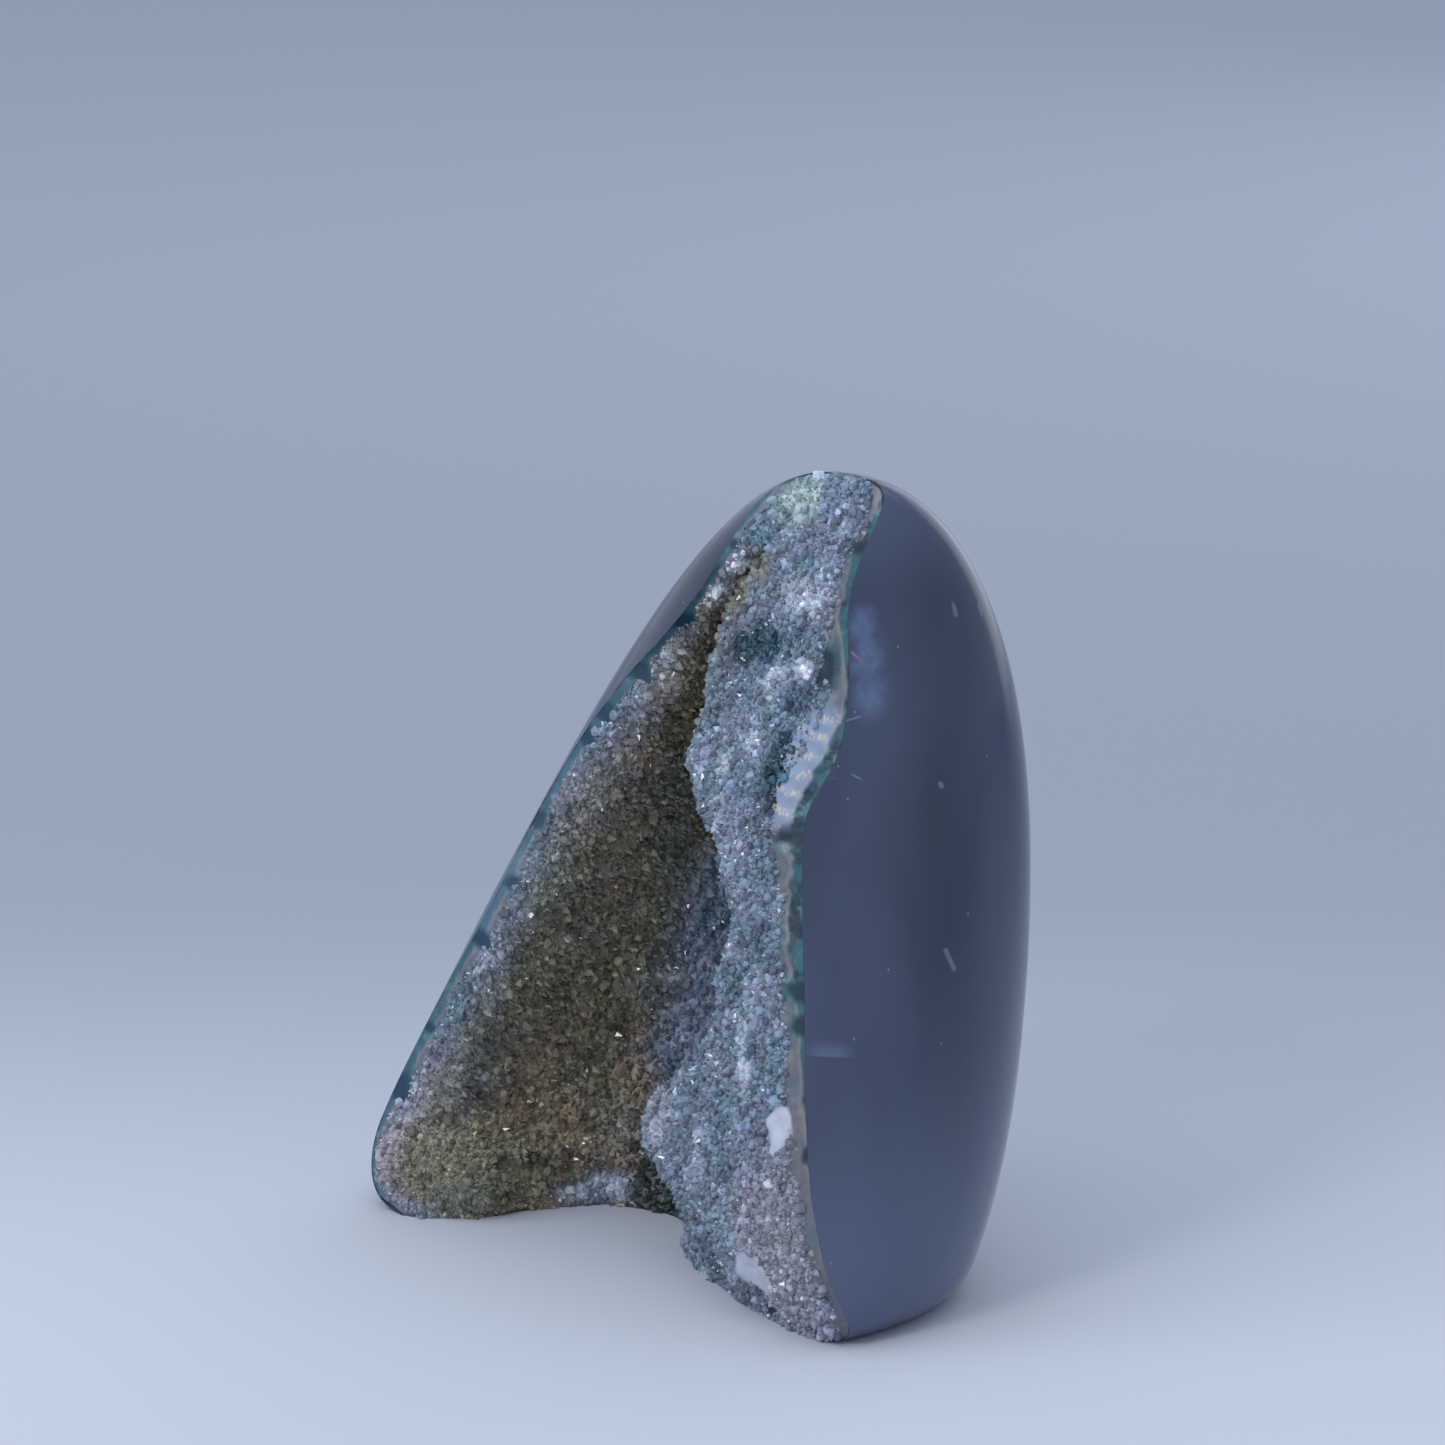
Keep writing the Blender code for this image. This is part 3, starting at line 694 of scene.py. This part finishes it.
def crystal_shapes(points, normals, radius, length, lean, rng):
    """Six-sided quartz points sunk in the crust: an uneven pyramid, on a short prism where length isn't 0.

    The ring's corner k is radius (cos 60k, sin 60k) across the axis. The pyramid's tip is off centre.
    Gives vertices and faces.
    """
    count = len(points)
    axis = unit(normals + lean * rng.normal(size=(count, 3)))
    across = unit(np.cross(axis, rng.normal(size=(count, 3))))
    other = np.cross(axis, across)
    angle = np.arange(6) * np.pi / 3.0
    uneven = rng.uniform(0.82, 1.18, (count, 6)) * radius[:, None]
    ring = across[:, None] * (np.cos(angle) * uneven)[..., None] + other[:, None] * (np.sin(angle) * uneven)[..., None]
    rings = [(points - axis * (radius * 0.6)[:, None])[:, None] + ring]
    if length:
        shoulder = (radius * length * rng.uniform(0.3, 1.4, count))[:, None] * rng.uniform(0.8, 1.2, (count, 6))
        rings.append(points[:, None] + ring * 0.97 + axis[:, None] * shoulder[..., None])
    else:
        shoulder = np.zeros((count, 1))
    shift = rng.uniform(-0.28, 0.28, (count, 2)) * radius[:, None]
    tip = points + axis * (shoulder.mean(1) + radius * rng.uniform(0.8, 1.2, count))[:, None]
    tip += across * shift[:, :1] + other * shift[:, 1:]
    vertices = np.concatenate([*rings, tip[:, None]], 1)
    each = vertices.shape[1]
    first = np.arange(count)[:, None, None] * each
    k = np.arange(6)
    after = (k + 1) % 6
    faces = [first[:, 0] + k[::-1], (first + np.stack([k + each - 7, after + each - 7, np.full(6, each - 1)], -1)).reshape(-1, 3)]
    if length:
        faces.append((first + np.stack([k, after, after + 6, k + 6], -1)).reshape(-1, 4))
    return vertices.reshape(-1, 3), faces


# How unequal the crystals of one lot are, and how far the largest go beyond the usual size
SIZE_SPREAD = 0.34
LARGEST = 1.75
# No crystal grows this close under the top, where it would stand out of the box
TOP_BARE = 0.3
CRYSTAL_LAYERS = ("band", "stain", "ochre", "mauve", "light")


def crystal_piece(name, crust, material, spacing, keep, size, length, lean, seed):
    """One lot of crystals as a joined mesh. Each crystal has its own tone, and takes the stone's layers."""
    rng = np.random.RandomState(seed)
    place = scatter(crust, spacing, keep, rng)
    count = len(place[0])
    radius = size * np.clip(rng.lognormal(0.0, SIZE_SPREAD, count), 0.5, LARGEST)
    points = sampled(crust.front, place)
    normals = unit(sampled(crust.normals, place))
    vertices, faces = crystal_shapes(points, normals, radius, length, lean, rng)
    each = len(vertices) // count
    values = {label: np.repeat(sampled(crust.layers[label], place), each) for label in CRYSTAL_LAYERS}
    # A random tone for each crystal; the few with the highest are painted as glints in quartz_crystals
    values["tone"] = np.repeat(rng.uniform(0.0, 1.0, count), each)
    mesh = make_mesh(name, vertices, faces, values)
    mesh.shade_flat()
    print(f"{name}: {count} crystals, {sum(len(f) * (f.shape[1] - 2) for f in faces)} triangles")
    return make_piece(name, mesh, material)


class Finish:
    """A material being put together: each method adds one node and gives its output."""

    def __init__(self, name, **shader):
        self.material = bpy.data.materials.new(name)
        self.material.use_nodes = True
        self.tree = self.material.node_tree
        self.shader = self.tree.nodes["Principled BSDF"]
        for socket, value in shader.items():
            self.shader.inputs[socket.replace("_", " ")].default_value = value
        self.coordinates = self.tree.nodes.new("ShaderNodeTexCoord").outputs["Object"]

    def put(self, value, socket):
        """Joins an output to a socket, or sets the socket to a plain value."""
        if isinstance(value, bpy.types.NodeSocket):
            self.tree.links.new(value, socket)
        elif isinstance(value, tuple) and len(value) == 3 and socket.type == "RGBA":
            socket.default_value = (*value, 1.0)
        else:
            socket.default_value = value

    def stretched(self, size, stretch=(1.0, 1.0, 1.0), place=(0.0, 0.0, 0.0)):
        """Object coordinates in units of `size` millimetres, each axis stretched."""
        node = self.tree.nodes.new("ShaderNodeMapping")
        node.vector_type = "TEXTURE"
        self.put(self.coordinates, node.inputs["Vector"])
        node.inputs["Location"].default_value = [v * MM for v in place]
        node.inputs["Scale"].default_value = [size * MM * v for v in stretch]
        return node.outputs["Vector"]

    def cloud(self, size, detail=3.0, roughness=0.55, stretch=(1.0, 1.0, 1.0), distortion=0.0, place=(0.0, 0.0, 0.0)):
        """Noise whose largest swells are about `size` millimetres apart."""
        node = self.tree.nodes.new("ShaderNodeTexNoise")
        self.put(self.stretched(size, stretch, place), node.inputs["Vector"])
        node.inputs["Scale"].default_value = 1.0
        node.inputs["Detail"].default_value = detail
        node.inputs["Roughness"].default_value = roughness
        node.inputs["Distortion"].default_value = distortion
        return node.outputs["Fac"]

    def cells(self, size, feature="F1", stretch=(1.0, 1.0, 1.0)):
        """Voronoi cells about `size` millimetres across: the distance output."""
        node = self.tree.nodes.new("ShaderNodeTexVoronoi")
        node.feature = feature
        self.put(self.stretched(size, stretch), node.inputs["Vector"])
        node.inputs["Scale"].default_value = 1.0
        return node.outputs["Distance"]

    def mask(self, name):
        """One of the piece's own numbers."""
        node = self.tree.nodes.new("ShaderNodeAttribute")
        node.attribute_name = name
        return node.outputs["Fac"]

    def between(self, value, low, high, to_low=0.0, to_high=1.0, kind="SMOOTHSTEP"):
        """The value's place between low and high, eased, as a number from to_low to to_high."""
        node = self.tree.nodes.new("ShaderNodeMapRange")
        node.interpolation_type = kind
        self.put(value, node.inputs["Value"])
        for socket, number in (("From Min", low), ("From Max", high), ("To Min", to_low), ("To Max", to_high)):
            node.inputs[socket].default_value = number
        return node.outputs["Result"]

    def math(self, operation, first, second=0.0):
        node = self.tree.nodes.new("ShaderNodeMath")
        node.operation = operation
        self.put(first, node.inputs[0])
        self.put(second, node.inputs[1])
        return node.outputs["Value"]

    def mix(self, amount, first, second):
        """The first colour where the amount is 0, the second where it is 1."""
        node = self.tree.nodes.new("ShaderNodeMix")
        node.data_type = "RGBA"
        self.put(amount, node.inputs[0])
        self.put(first, node.inputs[6])
        self.put(second, node.inputs[7])
        return node.outputs[2]

    def spot(self, place, size, ragged=0.0):
        """1 at a place on the stone, falling to 0 at the given half sizes round it."""
        node = self.tree.nodes.new("ShaderNodeVectorMath")
        node.operation = "LENGTH"
        self.put(self.stretched(1.0, size, tuple(np.array(place) - MIDDLE)), node.inputs[0])
        distance = node.outputs["Value"]
        if ragged:
            swell = self.math("MULTIPLY", self.math("SUBTRACT", self.cloud(1.6, 4.0), 0.5), ragged)
            distance = self.math("ADD", distance, swell)
        return self.between(distance, 1.0, 0.2)

    def vector(self, operation, first, second):
        """A vector sum, difference, dot product or scaling of two inputs."""
        node = self.tree.nodes.new("ShaderNodeVectorMath")
        node.operation = operation
        self.put(first, node.inputs[0])
        self.put(second, node.inputs["Scale" if operation == "SCALE" else 1])
        return node.outputs["Value" if operation == "DOT_PRODUCT" else "Vector"]

    def scratch(self, start, end, width):
        """1 on the straight line between two places, 0 beyond the width: the distance to the nearest point on it."""
        first = (np.array(start) - MIDDLE) * MM
        step = (np.array(end) - start) * MM
        away = self.vector("SUBTRACT", self.coordinates, tuple(first))
        part = self.math("DIVIDE", self.vector("DOT_PRODUCT", away, tuple(step)), float(step @ step))
        nearest = self.vector("SCALE", tuple(step), self.between(part, 0.0, 1.0, kind="LINEAR"))
        node = self.tree.nodes.new("ShaderNodeVectorMath")
        node.operation = "LENGTH"
        self.put(self.vector("SUBTRACT", away, nearest), node.inputs[0])
        return self.between(node.outputs["Value"], width * MM, width * MM * 0.4)

    def strongest(self, values):
        """The greatest of several numbers."""
        most = values[0]
        for value in values[1:]:
            most = self.math("MAXIMUM", most, value)
        return most

    def bump(self, height, strength, distance):
        node = self.tree.nodes.new("ShaderNodeBump")
        node.inputs["Strength"].default_value = strength
        node.inputs["Distance"].default_value = distance * MM
        self.put(height, node.inputs["Height"])
        self.tree.links.new(node.outputs["Normal"], self.shader.inputs["Normal"])

    def paint(self, colour, roughness=None):
        self.put(colour, self.shader.inputs["Base Color"])
        if roughness is not None:
            self.put(roughness, self.shader.inputs["Roughness"])
        return self.material


def polished_agate():
    """Slate blue agate: soft upright streaks, a haze and fine scratches near the seam, bands on the base, and painted
    light that makes it paler at the foot, the top and the right rim.
    """
    finish = Finish("polished_agate", IOR=1.54, Specular_IOR_Level=0.5, Coat_Weight=0.15, Coat_Roughness=0.1)
    streaks = finish.cloud(7.0, 2.0, 0.5, stretch=(1.0, 1.0, 12.0), distortion=0.2)
    broad = finish.cloud(24.0, 2.0, 0.5, stretch=(1.0, 1.0, 2.5), place=(5.0, 0.0, 0.0))
    colour = finish.mix(finish.between(streaks, 0.32, 0.7), SLATE_DARK, SLATE_MID)
    colour = finish.mix(finish.between(broad, 0.45, 0.75, 0.0, 0.45), colour, SLATE_PALE_AND_LIT)
    split = finish.tree.nodes.new("ShaderNodeSeparateXYZ")
    finish.put(finish.coordinates, split.inputs["Vector"])
    height = split.outputs["Z"]
    # Painted light: paler towards the foot, for light thrown up from the floor
    colour = finish.mix(finish.between(height, 26.0 * MM, 4.0 * MM, 0.0, 0.8), colour, SLATE_PALE_AND_LIT)
    # Painted light: paler at the top, where the overhead light falls
    colour = finish.mix(finish.between(height, 62.0 * MM, 71.0 * MM, 0.0, 0.35), colour, SLATE_PALE_AND_LIT)
    # Painted reflection: paler towards the right rim
    towards_lit_rim = finish.vector("DOT_PRODUCT", finish.coordinates, LIT_RIM_SIDE)
    colour = finish.mix(finish.between(towards_lit_rim, 16.0 * MM, 29.0 * MM, 0.0, 0.6), colour, SLATE_PALE_AND_LIT)
    haze = finish.strongest([finish.spot(place, size, 0.5) for place, size in HAZES])
    veil = finish.between(finish.cloud(0.9, 4.0, 0.6), 0.3, 0.7, 0.45, 0.8)
    colour = finish.mix(finish.math("MULTIPLY", haze, veil), colour, HAZE)
    above = finish.math("MULTIPLY", finish.between(height, 25.0 * MM, 25.15 * MM), finish.between(height, 26.8 * MM, 25.2 * MM))
    step = finish.math("MULTIPLY", above, finish.spot((27.2, -15.2, 25.4), (2.6, 2.6, 2.6)))
    colour = finish.mix(finish.math("MULTIPLY", step, 0.7), colour, STEP_PALE)
    marks = finish.strongest([finish.scratch(*line) for line in SCRATCHES])
    colour = finish.mix(finish.math("MULTIPLY", marks, 0.4), colour, SCUFF)
    colour = finish.mix(finish.scratch((22.9, -8.2, 58.0), (24.6, -7.7, 56.6), 0.16), colour, WHISKER)
    dust = finish.between(finish.cells(2.6), 0.05, 0.025)
    colour = finish.mix(finish.math("MULTIPLY", dust, 0.5), colour, SCUFF)
    rings = finish.math("SINE", finish.math("MULTIPLY", finish.mask("layer"), 34.0))
    base = finish.mix(finish.between(rings, -0.6, 0.8), SLATE_MID, BAND_GREY)
    colour = finish.mix(finish.between(finish.mask("layer"), 0.02, 0.06), colour, base)
    worn = finish.between(finish.cloud(5.0, 5.0), 0.3, 0.7, 0.14, 0.24)
    finish.bump(finish.cloud(0.5, 4.0, 0.6), 0.05, 0.02)
    return finish.paint(colour, worn)


def druse_colour(finish, grain_and_glint):
    """The colour of the crystals and of the rock between them, which share their layers and stains."""
    tint = finish.between(finish.cloud(5.0, 2.0), 0.42, 0.62)
    colour = finish.mix(finish.math("MULTIPLY", tint, 0.6), DRUSE, DRUSE_LILAC)
    colour = finish.mix(finish.mask("mauve"), colour, MAUVE)
    # A low light layer turns the druse dark and a high one pale, which also paints the patches' shade and light
    colour = finish.mix(finish.between(finish.mask("light"), 0.5, 0.05), colour, DRUSE_DARK_AND_SHADE)
    colour = finish.mix(finish.between(finish.mask("light"), 0.55, 1.0), colour, DRUSE_PALE_AND_LIT)
    apex = finish.spot((14.5, -6.4, 69.6), (4.6, 9.0, 3.6), 0.6)
    colour = finish.mix(finish.math("MULTIPLY", apex, 0.95), colour, GREEN_CREAM)
    pool = finish.spot((10.5, -6.4, 65.6), (2.2, 6.0, 1.8), 0.6)
    colour = finish.mix(finish.math("MULTIPLY", pool, 0.7), colour, POOL)
    stained = finish.mix(finish.between(finish.cloud(7.0, 3.0), 0.36, 0.64), OLIVE, BROWN)
    stained = finish.mix(finish.between(finish.mask("light"), 0.45, 0.95, 0.0, 0.6), stained, STAIN_PALE)
    # Dark grey where the light layer is low: darker stained crystals, and painted shade in the recess between the left
    # lobe and the right leg
    stained = finish.mix(finish.between(finish.mask("light"), 0.4, 0.05), stained, STAIN_DARK_AND_SHADE)
    colour = finish.mix(finish.mask("stain"), colour, stained)
    colour = finish.mix(finish.math("MULTIPLY", finish.mask("ochre"), 0.9), colour, OCHRE)
    return finish.vector("SCALE", colour, grain_and_glint)


def crust_rock():
    """The stone between and under the crystals: seam, blobs, chalcedony band, stained or clear druse."""
    finish = Finish("crust_rock", IOR=1.54, Subsurface_Weight=0.0)
    fine = finish.cloud(0.7, 4.0, 0.6)
    colour = druse_colour(finish, finish.between(fine, 0.3, 0.75, 0.75, 1.3))
    band = finish.mix(finish.between(finish.cloud(3.0, 3.0), 0.4, 0.6), BAND_PINK, BAND_GREY)
    colour = finish.mix(finish.math("MULTIPLY", finish.mask("band"), 0.85), colour, band)
    split = finish.tree.nodes.new("ShaderNodeSeparateXYZ")
    finish.put(finish.stretched(1.0), split.inputs["Vector"])
    sway = finish.math("ADD", split.outputs["Z"], finish.math("MULTIPLY", finish.cloud(2.5, 2.0), 1.6))
    rows = finish.between(finish.math("SINE", finish.math("MULTIPLY", sway, 2.0 * np.pi / 1.6)), -0.1, 0.7)
    dashes = finish.between(finish.cloud(0.34, 2.0, 0.6, stretch=(0.6, 1.0, 2.6)), 0.46, 0.6)
    dashes = finish.math("MULTIPLY", rows, dashes)
    colour = finish.mix(finish.math("MULTIPLY", finish.mask("smooth"), 0.85), colour, LILAC)
    colour = finish.mix(finish.math("MULTIPLY", finish.mask("smooth"), finish.math("MULTIPLY", dashes, 0.9)), colour, CREAM)
    colour = finish.mix(finish.math("MULTIPLY", finish.mask("line"), 0.5), colour, CREAM)
    left = finish.between(split.outputs["X"], 14.0, 8.0)
    seam = finish.mix(finish.between(finish.cloud(1.6, 3.0), 0.4, 0.6), finish.mix(left, TEAL_DARK, TEAL_BLUE), TEAL)
    seam = finish.mix(finish.between(finish.cloud(2.6, 3.0, place=(9.0, 4.0, 2.0)), 0.58, 0.68), seam, TURQUOISE)
    colour = finish.mix(finish.mask("seam"), colour, seam)
    colour = finish.mix(finish.mask("blob"), colour, finish.mix(left, BLOB, BLOB_BLUE))
    colour = finish.mix(finish.mask("white"), colour, WHITE_LUMP)
    finish.bump(fine, 0.45, 0.1)
    return finish.paint(colour, finish.between(fine, 0.3, 0.7, 0.28, 0.5))


def quartz_crystals(name, clear, pale):
    """Small quartz crystals, from milky to clear, stained olive inside the hollow, the few brightest with painted
    glints.
    """
    finish = Finish(name, IOR=1.54, Roughness=0.08, Transmission_Weight=clear)
    grain_and_glint = finish.between(finish.mask("tone"), 0.0, 0.97, 0.55 * pale, 1.75 * pale, "LINEAR")
    # Painted glints: the few crystals of highest tone are made far paler, standing in for sparkles
    grain_and_glint = finish.math("ADD", grain_and_glint, finish.between(finish.mask("tone"), 0.975, 1.0, 0.0, 2.2))
    return finish.paint(druse_colour(finish, grain_and_glint))


def shade(red, green, blue):
    """A colour given by its brightness on a screen, 0 to 255, as the light it stands for."""
    part = np.array((red, green, blue)) / 255.0
    light = np.where(part <= 0.04045, part / 12.92, ((part + 0.055) / 1.055) ** 2.4)
    return tuple(float(v) for v in light)


SLATE_DARK = shade(24, 34, 57)
SLATE_MID = shade(34, 46, 71)
# A painted reflection makes the agate paler towards this side, on its right rim as the camera sees it
LIT_RIM_SIDE = (0.707, 0.707, 0.0)
WHITE_LUMP = shade(186, 192, 204)
SLATE_PALE_AND_LIT = shade(84, 96, 124)
HAZE = shade(86, 104, 140)
SCUFF = shade(130, 142, 166)
STEP_PALE = shade(84, 102, 128)
WHISKER = shade(128, 98, 104)
BAND_PINK = shade(98, 92, 96)
BAND_GREY = shade(82, 94, 102)
LILAC = shade(142, 158, 184)
CREAM = shade(194, 184, 168)
GREEN_CREAM = shade(188, 204, 200)
POOL = shade(120, 160, 174)
TEAL_DARK = shade(12, 44, 60)
TEAL = shade(46, 94, 100)
TURQUOISE = shade(86, 132, 130)
BLOB = shade(6, 42, 54)
BLOB_BLUE = shade(10, 56, 78)
DRUSE_DARK_AND_SHADE = shade(58, 88, 102)
DRUSE = shade(126, 145, 160)
DRUSE_PALE_AND_LIT = shade(236, 242, 250)
DRUSE_LILAC = shade(151, 158, 178)
MAUVE = shade(172, 165, 174)
OLIVE = shade(138, 134, 108)
BROWN = shade(148, 130, 110)
STAIN_DARK_AND_SHADE = shade(62, 64, 58)
STAIN_PALE = shade(172, 164, 150)
OCHRE = shade(158, 148, 122)
TEAL_BLUE = shade(66, 102, 124)
# The floor's painted light: lit near the stone, a band of painted shade behind it, paler far behind
FLOOR_NEAR_LIT = shade(200, 205, 213)
FLOOR_MIDDLE_SHADED = shade(158, 165, 175)
FLOOR_FAR = shade(171, 179, 190)
# Soft pale clouds in the polished agate: place and half sizes
HAZES = (
    ((23.5, -7.9, 60.2), (1.9, 2.4, 2.4)),
    ((24.2, -7.8, 57.6), (2.2, 2.4, 3.2)),
    ((24.9, -8.0, 54.6), (2.1, 2.4, 3.0)),
)
# Fine scratches on the polish: start, end, width
SCRATCHES = (
    ((29.1, -2.4, 62.3), (29.2, -2.3, 61.3), 0.3),
    ((29.3, 0.5, 61.9), (29.4, 0.6, 60.9), 0.25),
    ((30.6, -5.5, 47.5), (30.6, -5.4, 47.3), 0.3),
    ((32.4, -6.6, 33.6), (32.8, -6.0, 32.0), 0.3),
    ((24.0, -10.4, 48.4), (26.4, -9.0, 47.2), 0.12),
    ((23.4, -9.4, 52.4), (24.4, -8.8, 52.8), 0.12),
    ((30.4, -13.2, 11.4), (30.9, -12.4, 11.8), 0.2),
    ((29.6, -14.4, 8.6), (30.0, -13.8, 7.4), 0.22),
    ((30.2, -12.6, 6.4), (30.5, -12.0, 5.8), 0.25),
    ((31.9, -9.0, 20.2), (32.0, -8.6, 19.4), 0.2),
)


def make_crystals(crust):
    """The lots of crystals, from the sugar that covers everything to the few tall points."""
    material = quartz_crystals("milky_quartz", 0.3, 1.0)
    clear = quartz_crystals("clear_quartz", 0.6, 1.5)
    grown = ease((crust.from_edge - crust.bare * 0.8) / 1.0) * (1.0 - 0.94 * smoothness(crust.front))
    grown = grown * (1.0 - np.maximum(crust.layers["blob"], crust.layers["white"]))
    grown = grown * ease((find_top() - crust.z - TOP_BARE) / 0.6)
    inside = ease((crust.inside - 3.0) / 3.0)
    right = crust.side > 0.0
    low = crust.z < 36.0
    face = grown * (1.0 - inside)
    hollow = grown * inside
    crystal_piece("right_crystals_low", crust, material, 0.26, face * right * low, 0.165, 0.0, 0.35, SEED + 20)
    crystal_piece("right_crystals_high", crust, material, 0.26, face * right * ~low, 0.17, 0.0, 0.35, SEED + 21)
    crystal_piece("left_crystals", crust, material, 0.28, face * ~right, 0.175, 0.0, 0.35, SEED + 22)
    crystal_piece("hollow_crystals_right", crust, material, 0.5, hollow * right, 0.31, 0.0, 0.3, SEED + 23)
    crystal_piece("hollow_crystals_left", crust, material, 0.5, hollow * ~right, 0.31, 0.0, 0.3, SEED + 24)
    crystal_piece("tall_crystals_face", crust, clear, 0.62, face * right, 0.26, 0.6, 0.5, SEED + 25)
    crystal_piece("tall_crystals_hollow", crust, clear, 1.0, grown * (1.0 - (1.0 - inside) * right), 0.3, 0.6, 0.5, SEED + 26)


def make_floor():
    """A pale floor, wide and flat, with painted light: a little brighter near the stone than far behind it, with a
    band of painted shade between.
    """
    finish = Finish("floor", Roughness=0.85, Specular_IOR_Level=0.2)
    split = finish.tree.nodes.new("ShaderNodeSeparateXYZ")
    turn = finish.tree.nodes.new("ShaderNodeVectorRotate")
    turn.rotation_type = "Z_AXIS"
    turn.inputs["Angle"].default_value = -CAMERA_AZIMUTH
    finish.put(finish.coordinates, turn.inputs["Vector"])
    finish.put(turn.outputs["Vector"], split.inputs["Vector"])
    behind = split.outputs["Y"]
    colour = finish.mix(finish.between(behind, -0.04, 0.13), FLOOR_NEAR_LIT, FLOOR_MIDDLE_SHADED)
    colour = finish.mix(finish.between(behind, 0.15, 0.6), colour, FLOOR_FAR)
    side = np.linspace(-3.0, 3.0, 9)
    x, y = np.meshgrid(side, side)
    points = np.stack([x, y, np.zeros(x.shape)], -1).reshape(-1, 3)
    mesh = bpy.data.meshes.new("floor")
    mesh.from_pydata(points.tolist(), [], grid_faces(9, 9).tolist())
    mesh.materials.append(finish.paint(colour))
    floor = bpy.data.objects.new("floor", mesh)
    bpy.context.scene.collection.objects.link(floor)


CAMERA_AZIMUTH = np.radians(45.0)
CAMERA_PITCH = np.radians(13.5)
CAMERA_PLACE = (365.21, -365.17, 171.4)
LENS = 151.65


def directions():
    """The camera's right, forward and up, from its turn about Z and its pitch down."""
    right = np.array((np.cos(CAMERA_AZIMUTH), np.sin(CAMERA_AZIMUTH), 0.0))
    ahead = np.array((-np.sin(CAMERA_AZIMUTH), np.cos(CAMERA_AZIMUTH), 0.0))
    forward = ahead * np.cos(CAMERA_PITCH) - np.array((0.0, 0.0, np.sin(CAMERA_PITCH)))
    return right, forward, np.cross(right, forward)


def make_camera():
    """The photo's viewpoint: to the right of the opening, a little above it."""
    right, forward, up = directions()
    data = bpy.data.cameras.new("camera")
    data.lens = LENS
    data.sensor_width = 36.0
    data.clip_start = 0.01
    data.clip_end = 20.0
    camera = bpy.data.objects.new("camera", data)
    turn = Matrix((right, up, -forward)).transposed().to_4x4()
    turn.translation = Vector(CAMERA_PLACE) * MM
    camera.matrix_world = turn
    bpy.context.scene.collection.objects.link(camera)
    bpy.context.scene.camera = camera


def soft_light(name, place, size, power, colour):
    """A square lamp at a place, in millimetres from the stone's foot, turned towards its middle."""
    data = bpy.data.lights.new(name, "AREA")
    data.size = size * MM
    data.energy = power
    data.color = colour
    lamp = bpy.data.objects.new(name, data)
    lamp.location = Vector(place) * MM
    aim = Vector((0.0, 0.0, 0.03)) - lamp.location
    lamp.rotation_euler = aim.to_track_quat("-Z", "Y").to_euler()
    bpy.context.scene.collection.objects.link(lamp)


def make_lights():
    """Broad soft lamps on the left and above, a small one for the crystals' glints, a pale surrounding."""
    right, forward, _ = directions()
    level = np.array((forward[0], forward[1], 0.0))
    up = np.array((0.0, 0.0, 1.0))
    soft_light("window", -430.0 * right - 150.0 * level + 420.0 * up, 420.0, 0.8, (0.9, 0.94, 1.0))
    soft_light("glints", -300.0 * right - 420.0 * level + 420.0 * up, 140.0, 0.8, (1.0, 1.0, 1.0))
    soft_light("fill", 450.0 * right + 540.0 * level + 250.0 * up, 640.0, 0.85, (0.9, 0.94, 1.0))
    soft_light("overhead", 1300.0 * up, 1400.0, 4.0, (0.9, 0.95, 1.0))
    world = bpy.data.worlds.new("surrounding")
    bpy.context.scene.world = world
    world.use_nodes = True
    world.node_tree.nodes["Background"].inputs["Color"].default_value = (*shade(184, 194, 212), 1.0)
    world.node_tree.nodes["Background"].inputs["Strength"].default_value = 1.08
    bpy.context.scene.view_settings.view_transform = "Standard"


def main():
    crust = Crust()
    make_camera()
    make_lights()
    make_floor()
    make_piece("agate_body", agate_mesh(), polished_agate(), ("agate_shell",))
    make_piece("crust", crust_mesh(crust), crust_rock(), ("druzy_crust",))
    make_crystals(crust)


main()
